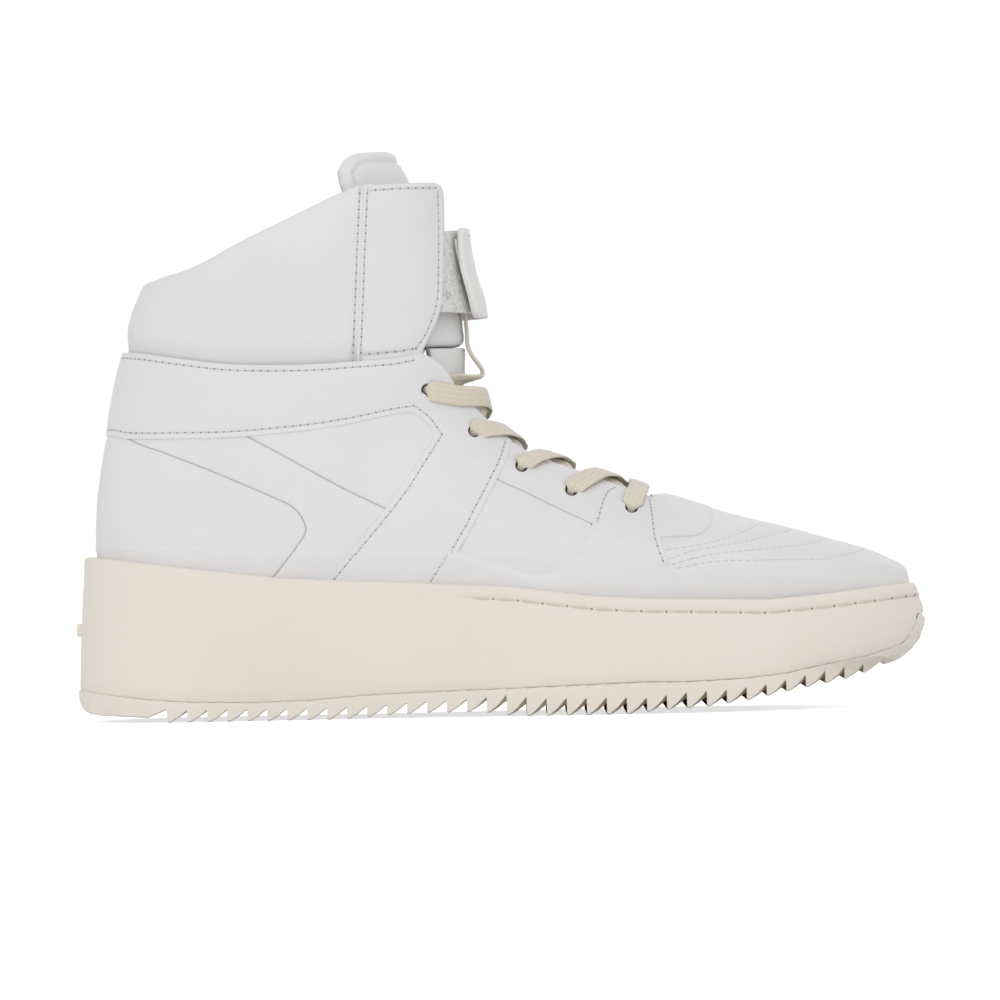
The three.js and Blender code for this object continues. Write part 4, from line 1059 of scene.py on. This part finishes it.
def make_tongue_top():
    corner = [(0.5, 1.008), (0.7, 1.015), (0.84, 1.013), (0.94, 0.998), (0.985, 0.972), (1, 0.935)]
    half = np.array([(0, 1.0), (0.25, 1.002)] + corner + [(1, 0.8), (1, TONGUE_SEAM), (0, TONGUE_SEAM)])
    half = half * [-1, 1]
    roll = sideways(tongue_surface, resampled(tongue_surface, half[:-2], 2.0), TONGUE_RIM)
    other = roll * [-1, 1]

    def padding(uv, p, d):
        above = smoothstep(uv[:, 1], TONGUE_SEAM, TONGUE_SEAM + 0.05)
        return 0.9 * smoothstep(d, TONGUE_RIM, TONGUE_RIM + 8) * above - 0.6

    piece = slab("tongue_top_padded", tongue_surface, both_sides(half), 0.4, -7.6,
                 [LEATHER, LINING_TEXTILE], edge=3.9, under_edge=3.9, channels=[roll, other],
                 channel_depth=0.8, shape=padding, ripple=0.1)
    place_piece(piece, body=None, replaces=["tongue_face", "tongue_foam", "tongue_lining"])
    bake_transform(piece)


def make_tongue_lower():
    half = np.array([(0, TONGUE_SEAM - 0.004), (-1, TONGUE_SEAM - 0.004), (-1, 0.3), (-1, 0.06), (-0.9, 0.02),
                     (0, 0.02)])
    half[:, 0] *= 0.98
    piece = slab("tongue_lower_leather", tongue_surface, both_sides(half), -0.3, -2.9, [LEATHER],
                 edge=0.6, spacing=2.4, ripple=0.25)
    place_piece(piece, replaces=["tongue_lower"])


# ---- Ankle strap -------------------------------------------------------------------------------


def at_heights(rows):
    """(place, level) points on the front from rows of (place, height)."""
    places, heights = np.asarray(rows, float).T
    around = np.where(places < 0, -1 - places, 1 - places)
    return np.column_stack([places, level_at_height(around, heights)])


def front_place(x, z):
    """Place counted from the middle of the front, for a point seen at x, z."""
    return 1 - float(locate([x], [z])[0][0])


def make_strap():
    medial = front_place(-44, 159)
    lateral = -front_place(-12.6, 159)
    lateral_low = -front_place(-9.5, 146)
    lateral_top = -front_place(-13.4, 170)
    end = [(lateral_top + 0.012, 174.6), (lateral_top + 0.003, 173.6), (lateral_top, 171.5), (lateral, 160),
           (lateral_low, 147), (lateral_low + 0.003, 144), (lateral_low + 0.016, 142.3)]
    top = [(place, 174.8) for place in np.linspace(medial, lateral_top + 0.03, 40)]
    bottom = [(place, 142.2) for place in np.linspace(lateral_low + 0.03, medial, 40)]
    outline = at_heights(top + end + bottom)
    inset = 2.6
    first = medial - 0.02
    rows = [at_heights([(place, 174.8 - inset) for place in np.linspace(first, lateral + 0.09, 40)]),
            at_heights([(place, 142.2 + inset) for place in np.linspace(first, lateral_low + 0.09, 40)])]
    for row in rows:
        strap_rows.append((front_surface, row, 2.5))

    def stand_off(uv, p, d):
        return 0.9 * (1 - smoothstep(p[:, 2], 142, 165)) * smoothstep(p[:, 0], -20, -8)

    piece = slab("ankle_strap_leather", front_surface, outline, 2.5, 0.45, [STRAP_LEATHER], edge=0.9,
                 under_edge=0.4, channels=rows, spacing=1.8, shape=stand_off, ripple=0.15)
    place_piece(piece, body="strap", replaces=["ankle_strap"])


strap_rows = []


def make_fastener():
    first, last = -front_place(-11.8, 159), -0.02
    box = [(first, 170.6)] + [(p, 170.8) for p in np.linspace(first + 0.004, last, 12)] \
        + [(p, 147.4) for p in np.linspace(last, first + 0.03, 12)] + [(first + 0.026, 147.6)]
    piece = slab("hook_patch_plate", front_surface, at_heights(box), 0.12, -0.9, [HOOK_LOOP], edge=0.3,
                 spacing=1.2, ripple=0, shape=lambda uv, p, d: -0.1 * np.abs(np.sin(p[:, 2] * 2.4)))
    place_piece(piece, body="strap", replaces=["hook_patch"])
    rear, front = -front_place(-31, 159), -0.03
    box = [(p, 173.4) for p in np.linspace(rear, front, 12)] \
        + [(p, 144.4) for p in np.linspace(front, rear, 12)]
    outline = at_heights(box)
    piece = slab("loop_tab_pile", front_surface, outline, -1.7, -3.0, [HOOK_LOOP], edge=0.4, spacing=1.3,
                 ripple=0.2)
    place_piece(piece, replaces=["loop_tab"])
    make_fibres(outline)


FIBRE_COUNT = 700
FIBRE_RADIUS = 0.07


def make_fibres(outline):
    """Short curled loops that stand on the loop tab."""
    random = np.random.default_rng(7)
    low, high = outline.min(0), outline.max(0)
    uv = low + (high - low) * random.random((FIBRE_COUNT * 2, 2))
    points = front_surface(uv[:, 0], uv[:, 1])[0]
    uv = uv[inside_outline(uv, outline) & (points[:, 0] > -21)][:FIBRE_COUNT]
    points, normals = front_surface(uv[:, 0], uv[:, 1])
    sections, corners = 5, 3
    vertices, faces = [], []
    for base, normal in zip(points, normals):
        direction = unit(random.normal(size=3) * [0.6, 0.6, 1.0])
        sideways_direction = unit(np.cross(normal, direction))
        forward = unit(np.cross(sideways_direction, normal))
        height, reach = random.uniform(0.5, 1.0), random.uniform(0.4, 1.2)
        start = len(vertices)
        for s in range(sections):
            turn = math.pi * s / (sections - 1)
            centre = base + normal * (-1.9 + height * math.sin(turn)) - forward * reach * math.cos(turn) / 2
            outward = normal * math.sin(turn) - forward * math.cos(turn)
            for c in range(corners):
                spin = 2 * math.pi * c / corners
                spoke = outward * math.cos(spin) + sideways_direction * math.sin(spin)
                vertices.append(centre + FIBRE_RADIUS * spoke)
        tube = grid_faces(sections, corners, closed_columns=True)
        faces += [tuple(start + i for i in face) for face in tube]
        faces.append((start, start + 1, start + 2))
        tail = start + (sections - 1) * corners
        faces.append((tail + 2, tail + 1, tail))
    piece = make_object("loop_tab_fibres", vertices, faces, [FIBRE])
    place_piece(piece)


# ---- Lace --------------------------------------------------------------------------------------

CROWN_LEVELS = [8.9, 7.95, 6.95, 6, 5.1]
LACE_HALF_WIDTH = 3.7
LACE_HOLE_HALF_WIDTH = 1.4
LACE_HALF_THICKNESS = 0.62
LACE_CROSSING = [(1, 2.6, 0), (0.99, 4.7, 0), (0.9, 5.2, 0), (0.7, 5.3, 0), (0.53, 5.2, 0), (0.44, 5.1, 0.1),
                 (0.35, 2.4, 2.9), (0.2, 1.2, 2.1), (0, 0.6, 1.8), (-0.2, 0.4, 1.9), (-0.34, 0, 1.7),
                 (-0.44, -1.6, 0.3), (-0.56, -2, 0), (-0.7, -1.9, 0), (-0.85, -1.9, 0), (-0.97, -1.2, 0),
                 (-1, 0.3, 0)]
LACE_BAR = [(1, 0.3, 0), (0.97, -1.2, 0), (0.85, -1.8, 0), (0.6, -1.9, 0), (0.3, -1.9, 0), (0, -1.7, 0),
            (-0.3, -1.9, 0), (-0.6, -1.9, 0), (-0.85, -1.8, 0), (-0.97, -1.2, 0), (-1, 0.3, 0)]
LACE_END = [(1, 0, 2.6, 0), (0.99, 0, 4.7, 0), (0.92, 0.03, 5, 0), (0.75, 0.12, 5, 0.1),
            (0.55, 0.25, 5.1, 0.4), (0.38, 0.32, 3.6, 0.7), (0.24, 0.36, 1, 0.9), (0.17, 0.4, -0.8, 1),
            (0.14, 0.5, -1, 1), (0.13, 0.62, 0.4, 1), (0.13, 0.75, 2.4, 1), (0.13, 0.9, 4, 1),
            (0.13, 1.15, 4.4, 1), (0.14, 1.5, 4.4, 1)]
AGLET_LENGTH = 18


def throat_width():
    """Half of the throat's width in places, as (level, width)."""
    around, level = locate(*np.array(THROAT_EDGE).T)
    return sorted(zip(level, 1 - around))


def eyelet_rows():
    width = throat_width()
    rows = []
    for (x, z), crown in zip(EYELETS, CROWN_LEVELS):
        around, level = (float(v[0]) for v in locate([x], [z]))
        rise = crown - level
        edge = float(value_at(width, np.array([level + 0.75 * rise]))[0])
        rows.append({"hole": 1 - around, "level": level, "rise": rise, "edge": edge})
    return rows


def row_offset(row, place):
    if place < 0.5:
        return row["edge"] * place * 2
    return row["edge"] + (row["hole"] - row["edge"]) * (place * 2 - 1)


def row_level(row, offset):
    return row["level"] + row["rise"] * (1 - (offset / row["hole"]) ** 2)


def lace_stop(offset, level, depth, half_width):
    """Point of the lace with the direction of its flat, which lies along the instep."""
    offsets, levels = np.full(3, offset), np.array([level, level + 0.1, level - 0.1])
    points, normals = front_surface(offsets, levels)
    return {"point": points[0] - normals[0] * depth, "along": unit(points[1] - points[2]),
            "out": normals[0], "half": half_width}


def lace_stretch(rows, side, first, second, stops, height=0.0):
    result = []
    for place, depth, lift in stops:
        share, reach = (1 - place) / 2, abs(place)
        near, far = rows[first], rows[second]
        offset = row_offset(near, reach) * (1 - share) + row_offset(far, reach) * share
        level = row_level(near, offset) * (1 - share) + row_level(far, offset) * share
        half = LACE_HOLE_HALF_WIDTH if reach > 0.98 else LACE_HALF_WIDTH
        result.append(lace_stop(side * math.copysign(offset, place), level, depth - lift * height, half))
    return result


def lace_half(rows, side, heights):
    """From the lowest hole on one side up to the end that is tucked behind the strap."""
    last = len(EYELETS) - 1
    stops = []
    for i in range(last, 0, -1):
        start_side = side * (-1) ** (last - i)
        stops += lace_stretch(rows, start_side, i, i - 1, LACE_CROSSING, heights[last - i])
    end_side = side * (-1) ** last
    for share, rise, depth, turn in LACE_END:
        half = LACE_HOLE_HALF_WIDTH if share > 0.98 else LACE_HALF_WIDTH * (1 - 0.35 * turn)
        stop = lace_stop(end_side * rows[0]["hole"] * share, rows[0]["level"] + rise, depth, half)
        stop["along"] = stop["along"] * (1 - turn) + np.array([0, end_side, 0]) * turn
        stops.append(stop)
    return stops


def make_lace():
    rows = eyelet_rows()
    last = len(EYELETS) - 1
    stops = lace_half(rows, -1, [0, 1, 0, 1])[::-1] + lace_stretch(rows, -1, last, last, LACE_BAR) \
        + lace_half(rows, 1, [1, 0, 1, 0])
    keys = {key: np.array([stop[key] for stop in stops]) for key in ("point", "along", "half")}
    lengths = np.concatenate([[0], np.cumsum(np.linalg.norm(np.diff(keys["point"], axis=0), axis=1))])
    count = int(lengths[-1] / 0.8)
    line = smooth_line(keys["point"], 0.4)
    along_line = np.concatenate([[0], np.cumsum(np.linalg.norm(np.diff(line, axis=0), axis=1))])
    total = along_line[-1]
    targets = np.linspace(0, total, count)
    centres = np.column_stack([np.interp(targets, along_line, line[:, k]) for k in range(3)])
    tangents = unit(np.gradient(centres, axis=0))
    key_places = targets[[int(np.argmin(((centres - p) ** 2).sum(1))) for p in keys["point"]]]
    key_places = np.maximum.accumulate(key_places + np.arange(len(key_places)) * 1e-6)
    across = np.column_stack([np.interp(targets, key_places, keys["along"][:, k]) for k in range(3)])
    half = np.interp(targets, key_places, keys["half"])
    across = unit(across - tangents * (across * tangents).sum(1, keepdims=True))
    up = np.cross(across, tangents)
    steps = 20
    turns = np.linspace(0, 2 * np.pi, steps, endpoint=False)
    wide = np.sign(np.cos(turns)) * np.abs(np.cos(turns)) ** 0.7
    thick = np.sign(np.sin(turns)) * np.abs(np.sin(turns)) ** 0.8
    soft = 0.12 * np.sin(targets / 3.1)[:, None] * np.cos(turns)[None]
    rings = centres[:, None] + across[:, None] * (half[:, None] * wide[None])[..., None] \
        + up[:, None] * (LACE_HALF_THICKNESS * thick[None] * (1.5 - 0.5 * half / LACE_HALF_WIDTH)[:, None]
                         + soft)[..., None]
    uv = np.stack(np.broadcast_arrays(half[:, None] * wide[None] + (thick[None] < 0) * 7.0,
                                      targets[:, None] + 0 * wide[None]), -1).reshape(-1, 2)
    piece = lofted("flat_lace", rings, [COTTON], uv=uv)
    place_piece(piece, replaces=["lace"])
    make_aglet("aglet_lateral", stops[0]["point"], stops[1]["point"])
    make_aglet("aglet_medial", stops[-1]["point"], stops[-2]["point"])
    return total


def make_aglet(node, end, before):
    direction = unit(end - before)
    side = unit(np.cross(direction, [0.0, 1.0, 0.0]))
    other = np.cross(direction, side)
    profile = [(0, 1.12), (0.6, 1.3), (2, 1.3), (3, 1.18), (4, 1.3), (16.4, 1.2), (17.4, 1.0),
               (AGLET_LENGTH, 0.45)]
    turns = np.linspace(0, 2 * np.pi, 24, endpoint=False)
    circle = np.cos(turns)[:, None] * side + np.sin(turns)[:, None] * other
    rings = [end + direction * (along + 0.3) + radius * circle for along, radius in profile]
    place_piece(lofted(f"{node}_tip", rings, [TIP]), replaces=[node])


# ---- Sole --------------------------------------------------------------------------------------

FEATHER_RING = 1
SOLE_TOP_OVERHANG = 4.6
SOLE_BASE_OVERHANG = 7.2
SOLE_TOP = [(-160, 60.3), (-149.5, 59.3), (-133.8, 57.6), (-112.3, 54.9), (-96.6, 53), (-80.5, 51),
            (-59.9, 49.5), (-29, 48), (3.6, 46.1), (19.1, 44), (33.7, 42.1), (52.1, 41), (71.8, 40.5),
            (94.3, 39.7), (113.5, 41), (131.2, 42.8), (142.2, 43.9), (152, 44.6)]
TOE_PROFILE = [(13.4, 133.2), (17.1, 143.4), (20.6, 147.8), (24.1, 150.8), (31.3, 153.1), (34.9, 152.1),
               (42.2, 150.2), (44.4, 149.2)]       # as (z, x)
GROOVE = [(-160, 12.3), (-151.7, 11.2), (-126.5, 8.2), (-110, 7), (-89.3, 6.5), (-68.6, 6.9), (-47.9, 8.4),
          (-29.8, 9), (0, 9.8), (29.4, 10.7), (49.6, 11.4), (64.3, 11.1), (86.4, 11.9), (101.2, 13.3),
          (115.9, 16.3), (130.7, 18.6), (143.3, 22.4), (147, 26), (149, 31.1), (150.4, 34.6)]
TREAD_TIPS = [(-126, 0.8), (-119, 0), (-60, 0), (-30, 1.8), (-8, 1.8), (4, 0), (45, 0), (55, 1.3), (71, 2.1),
              (85, 3.8), (102, 7.1), (121, 10.3), (134, 13.6)]
HEEL_BLOCK = [(-152.6, 8), (-151.6, 5.8), (-150, 4.1), (-147.5, 3.1), (-143.5, 2.6), (-126.2, 1.8)]
TREAD_PITCH, TREAD_DEPTH, TREAD_LAND, TREAD_RISE = 7.1, 3.8, 1.0, 5.7
FIRST_TOOTH, LAST_TOOTH = -119.3, 131


def sole_ring(around, overhang, z):
    """Wall of the sole: the feather line moved outwards, with the toe drawn in to its side profile."""
    level = np.full_like(around, FEATHER_RING)
    outward = upper_normal(around, level) * [1, 1, 0]
    points = upper_point(around, level) + unit(outward) * np.asarray(overhang)[..., None]
    points[:, 2] = z
    tip = 147.4 + np.asarray(overhang)
    profile_z, profile_x = np.array(TOE_PROFILE).T
    limit = np.interp(z, profile_z, profile_x)
    start = 95.0
    squeeze = start + (points[:, 0] - start) * (limit - start) / (tip - start)
    points[:, 0] = np.where(points[:, 0] > start, squeeze, points[:, 0])
    return points


def overhang_at(z):
    return SOLE_BASE_OVERHANG + (SOLE_TOP_OVERHANG - SOLE_BASE_OVERHANG) * np.clip((z - 12) / 49, 0, 1)


def sole_outward(around):
    return unit(upper_normal(around, np.full_like(around, FEATHER_RING)) * [1, 1, 0])


def sole_height(around, line):
    """Height on the wall of the sole of a line that is given by its side view."""
    z = np.full(len(around), 30.0)
    for _ in range(8):
        x = sole_ring(around, overhang_at(z), z)[:, 0]
        z = np.interp(x, *np.array(line).T)
    return z, x


STITCH_DROP = 4.7             # sole stitching below the top edge
STITCH_START = -12


def make_cupsole():
    around = np.linspace(-1, 1, 420, endpoint=False)
    outward = sole_outward(around)
    top, x = sole_height(around, SOLE_TOP)
    groove = np.minimum(sole_height(around, GROOVE)[0], 33)
    stitched = smoothstep(x, STITCH_START - 6, STITCH_START + 2)
    rings = []

    def wall(z, inset):
        rings.append(sole_ring(around, overhang_at(z), z) - outward * np.reshape(inset, (-1, 1)))

    wall(groove + 0.1, 3.0)
    wall(groove + 0.1, 0.75)
    wall(groove + 0.35, 0.25)
    wall(groove + 0.9, 0.0)
    for share in (0.12, 0.28, 0.44, 0.6, 0.76, 0.9):
        z = groove + 0.9 + (top - STITCH_DROP - 1.6 - groove - 0.9) * share
        wall(z, -0.25 * math.sin(math.pi * share))
    wall(top - STITCH_DROP - 1.0, 0.0)
    wall(top - STITCH_DROP - 0.6, 0.2 * stitched)
    wall(top - STITCH_DROP, 0.5 * stitched)
    wall(top - STITCH_DROP + 0.6, 0.2 * stitched)
    wall(top - STITCH_DROP + 1.0, 0.0)
    wall(top - 2.2, -0.05)
    wall(top - 1.1, 0.0)
    wall(top - 0.5, 0.25)
    wall(top - 0.12, 0.75)
    wall(top, 1.5)
    wall(top - 0.05, 2.8)
    wall(top - 0.2, 3.8)
    wall(top - 0.6, 4.8)
    wall(top - 9, 5.4)
    wall(groove + 9, 5.5)
    vertices = np.vstack(rings)
    faces = grid_faces(len(rings), len(around), closed_rows=True, closed_columns=True)
    piece = make_object("cupsole_rubber", vertices, faces, [RUBBER])
    place_piece(piece, replaces=["cupsole"])
    make_heel_nub()


def make_heel_nub():
    """Small rounded block moulded on the back of the heel."""
    centre = np.array([-151.4, HEEL_MIDDLE_Y, 33.0])
    rows, columns = 14, 20
    vertices = []
    for r in range(rows):
        polar = math.pi * r / (rows - 1)
        for c in range(columns):
            turn = 2 * math.pi * c / columns
            direction = [math.cos(polar), math.sin(polar) * math.cos(turn), math.sin(polar) * math.sin(turn)]
            shaped = [math.copysign(abs(v) ** 0.45, v) for v in direction]
            vertices.append(centre + np.array(shaped) * [1.6, 3.8, 2.4])
    faces = grid_faces(rows, columns, closed_columns=True)
    piece = make_object("heel_nub", vertices, faces, [RUBBER])
    bpy.context.view_layer.objects.active = piece
    work = bmesh.new()
    work.from_mesh(piece.data)
    bmesh.ops.remove_doubles(work, verts=work.verts, dist=1e-5)
    work.to_mesh(piece.data)
    work.free()
    place_piece(piece)


def tread_line():
    """(x, z) of the bottom of the sole from the heel to the toe."""
    line = list(HEEL_BLOCK)
    x = FIRST_TOOTH
    line += [(FIRST_TOOTH - TREAD_PITCH + TREAD_LAND + TREAD_RISE, TREAD_DEPTH + 0.6)]
    tips = np.array(TREAD_TIPS)
    while x < LAST_TOOTH:
        tip = float(np.interp(x, tips[:, 0], tips[:, 1]))
        line += [(x, tip + 0.15), (x + 0.2, tip), (x + TREAD_LAND, tip),
                 (x + TREAD_LAND + TREAD_RISE * 0.5, tip + TREAD_DEPTH * 0.42),
                 (x + TREAD_LAND + TREAD_RISE, tip + TREAD_DEPTH),
                 (x + TREAD_LAND + TREAD_RISE + 0.35, tip + TREAD_DEPTH)]
        x += TREAD_PITCH
    return line + [(137.5, 14.9), (141, 16.1), (143.4, 17.1), (145.8, 18.7), (147.8, 20.6), (149.5, 22.3),
                   (150.8, 24.1), (151.8, 26.5), (152.6, 29), (153.0, 31)]


SIDE_DEPTH = 0.5              # share by which the notches of the forefoot are deeper at the side walls


def make_outsole():
    around = np.linspace(0, 1, 900)
    levels = [10.0, 14.0, 18.0, 22.0, 26.0, 30.0, 34.0]
    outlines = {}
    for name, side in SIDES.items():
        for z in levels:
            heights = np.full(len(around), z)
            ring = sole_ring(side * around, overhang_at(heights) - 0.05, heights)
            outlines[name, z] = ring[np.argsort(ring[:, 0])][:, :2]
    line = []
    for (x0, z0), (x1, z1) in zip(tread_line(), tread_line()[1:]):
        pieces = max(int(abs(x1 - x0) / 2.4), 1)
        line += [(x0 + (x1 - x0) * k / pieces, z0 + (z1 - z0) * k / pieces) for k in range(pieces)]
    line.append(tread_line()[-1])
    groove = np.array(GROOVE)
    tips = np.array(TREAD_TIPS)
    shares = [(-1, 0.55), (-0.985, 0.12), (-0.965, 0), (-0.94, 0), (-0.5, 0), (0, 0), (0.5, 0), (0.94, 0),
              (0.965, 0), (0.985, 0.12), (1, 0.55)]
    rings = []
    for x, z in line:
        ceiling = float(np.interp(x, groove[:, 0], groove[:, 1])) + 0.25
        if x > 150.4:
            ceiling = 34.3 - (x - 150.4) * 1.15
        ceiling = max(ceiling, z + 0.3)
        tip = float(np.interp(x, tips[:, 0], tips[:, 1]))
        side_z = z
        if FIRST_TOOTH < x < LAST_TOOTH:
            deeper = 1 + SIDE_DEPTH * float(smoothstep(x, -20, 10))
            side_z = max(z, min(tip + (z - tip) * deeper, ceiling - 1.3))

        def point(share, height):
            y = [np.interp(height, levels, [np.interp(x, *outlines[name, z].T) for z in levels])
                 for name in SIDES]
            return (x, float(y[0] + y[1]) / 2 + float(y[1] - y[0]) / 2 * share, height)

        bottom = [point(share, min((side_z if abs(share) > 0.95 else z) + up, ceiling - 0.2))
                  for share, up in shares]
        heights = ((1.0, 0.5), (1.0, 0.8), (0.994, 0.95), (0.97, 1.0))
        walls = [point(share, side_z + (ceiling - side_z) * up) for share, up in heights]
        across = [point(share, ceiling) for share in (0.5, -0.5)]
        back = [point(-share, side_z + (ceiling - side_z) * up) for share, up in heights[::-1]]
        rings.append(bottom + walls + across + back)
    columns = len(rings[0])
    # The underside faces take the tan material, which carries painted shade in the forefoot.
    underside = [1 if abs(shares[c][0]) < 0.97 and abs(shares[c + 1][0]) < 0.97 else 0
                 for c in range(len(shares) - 1)]
    face_looks = (underside + [0] * (columns - len(underside))) * (len(rings) - 1) + [0, 0]
    piece = lofted("outsole_tread_rubber", rings, [RUBBER, TREAD_UNDERSIDE_SHADED], smooth=False,
                   face_materials=face_looks)
    place_piece(piece, replaces=["outsole"])


# ---- Stitching ---------------------------------------------------------------------------------

STITCH_PITCH = 2.7
STITCH_LENGTH = 2.15
THREAD_RADIUS = 0.26
# Size of the dark dome of painted shade at each needle hole.
HOLE_SHADE_RADIUS = 0.36


def stitch_frames(surface, line, height, pitch):
    """Places of the stitches of one row: centre, direction, outward and side unit vectors."""
    points = resampled(surface, line, pitch)
    middle = (points[:-1] + points[1:]) / 2
    centres, normals = surface(middle[:, 0], middle[:, 1])
    ends = surface(points[:, 0], points[:, 1])[0]
    directions = unit(ends[1:] - ends[:-1])
    normals = unit(normals - directions * (normals * directions).sum(1, keepdims=True))
    return centres + normals * height, directions, normals, np.cross(normals, directions)


def thread_template(length, radius):
    """Rounded thread that dips at both ends, along X with Z outward."""
    sections = [(-0.5, -1.3, 0.55), (-0.42, -0.35, 0.85), (-0.2, 0.1, 1), (0.2, 0.1, 1), (0.42, -0.35, 0.85),
                (0.5, -1.3, 0.55)]
    corners = 6
    vertices = []
    for along, drop, size in sections:
        for c in range(corners):
            turn = 2 * math.pi * c / corners
            vertices.append((along * length, size * radius * math.cos(turn),
                             drop * radius + size * radius * 0.9 * math.sin(turn)))
    faces = grid_faces(len(sections), corners, closed_columns=True)
    faces.append(tuple(range(corners))[::-1])
    faces.append(tuple((len(sections) - 1) * corners + c for c in range(corners)))
    return np.array(vertices), faces


def hole_shade_template(radius):
    """Low dome, coloured dark as painted shade, that stands in for the shadow in a needle hole."""
    corners = 8
    turns = np.linspace(0, 2 * np.pi, corners, endpoint=False)
    rim = np.column_stack([radius * np.cos(turns), radius * np.sin(turns), np.full(corners, -0.25)])
    shoulder = rim * [0.95, 0.95, 0] + [0, 0, 0.02]
    vertices = np.vstack([rim, shoulder, [[0, 0, 0.06]]])
    faces = grid_faces(2, corners, closed_columns=True)
    faces += [(corners + c, corners + (c + 1) % corners, 2 * corners) for c in range(corners)]
    faces.append(tuple(range(corners))[::-1])
    return vertices, faces


def scatter(template, frames, offset=(0.0, 0.0, 0.0)):
    """Copies of a template at frames of (centres, directions, normals, sides)."""
    shape, faces = template
    centres, directions, normals, sides = frames
    shape = shape + np.asarray(offset)
    copies = centres[:, None] + directions[:, None] * shape[None, :, :1] \
        + sides[:, None] * shape[None, :, 1:2] + normals[:, None] * shape[None, :, 2:]
    vertices = copies.reshape(-1, 3)
    all_faces = [tuple(i + k * len(shape) for i in face) for k in range(len(centres)) for face in faces]
    return vertices, all_faces


def combined(parts):
    vertices, faces, start = [], [], 0
    for part_vertices, part_faces in parts:
        vertices.append(part_vertices)
        faces += [tuple(i + start for i in face) for face in part_faces]
        start += len(part_vertices)
    return np.vstack(vertices), faces


def make_stitching(name, rows, body, pitch=STITCH_PITCH, length=STITCH_LENGTH, radius=THREAD_RADIUS,
                   hole=HOLE_SHADE_RADIUS, looks=None):
    thread_look, hole_shade_look = looks or (THREAD, NEEDLE_HOLE_SHADE)
    threads, holes = [], []
    for surface, line, height in rows:
        frames = stitch_frames(surface, line, height, pitch)
        threads.append(scatter(thread_template(length, radius), frames, (0, 0, -0.12)))
        # Dark domes between the stitches: painted shade standing in for the shadow in each needle hole.
        holes.append(scatter(hole_shade_template(hole), frames, (pitch / 2, 0, -0.12)))
    place_piece(make_object(f"{name}_thread", *combined(threads), [thread_look]), body)
    place_piece(make_object(f"{name}_painted_hole_shades", *combined(holes), [hole_shade_look]), body)


def sole_wall(place, height):
    """Surface of the sole wall, with places counted round from the front and heights in mm."""
    around = np.where(place < 0, -1 - place, 1 - place)
    flat = np.ravel(around)
    z = np.ravel(np.broadcast_to(height, np.shape(around))).astype(float)
    points = sole_ring(flat, overhang_at(z), z) - sole_outward(flat) * 0.55
    ahead = sole_ring(flat + 0.004, overhang_at(z), z) - sole_ring(flat - 0.004, overhang_at(z), z)
    normals = unit(np.cross([0.0, 0.0, 1.0], ahead))
    return points, normals


def make_sole_stitching():
    reach = 0.545
    place = np.linspace(-reach, reach, 400)
    x = sole_wall(place, np.full(len(place), 36.0))[0][:, 0]
    height = np.interp(x, *np.array(SOLE_TOP).T) - STITCH_DROP
    line = np.column_stack([place, height])[x > STITCH_START]
    # The dark domes at the sole's holes are painted shade.
    make_stitching("sole", [(sole_wall, line, 0.35)], "shoe", pitch=8.6, length=7.2, radius=0.38,
                   hole=0.5, looks=(SOLE_THREAD, SOLE_HOLE_SHADE))


# ---- Pieces that stay as the CAD made them, inside the shoe ------------------------------------

INNER_LOOKS = {
    "midsole": FOAM, "shank": STEEL, "lasting_board": BOARD, "heel_counter": STIFFENER,
    "toe_puff": STIFFENER, "eyelet_facing_lateral": STIFFENER, "eyelet_facing_medial": STIFFENER,
}


def finish_inner_nodes():
    for node, material in INNER_LOOKS.items():
        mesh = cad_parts[node].data
        mesh.materials.clear()
        mesh.materials.append(material)


make_heel_panel()
make_quarters()
make_ankle_band()
make_mid_quarters()
make_front_eyestays()
make_wings()
make_vamp()
make_vamp_tab()
make_collar()
make_flaps()
make_linings()
make_sockliner()
make_tongue_top()
make_tongue_lower()
make_strap()
make_fastener()
LACE_LENGTH = make_lace()
make_cupsole()
make_outsole()
make_stitching("leather", stitch_rows, "shoe")
make_stitching("strap", strap_rows, "strap")
make_sole_stitching()
finish_inner_nodes()
print("lace length, mm:", round(LACE_LENGTH))
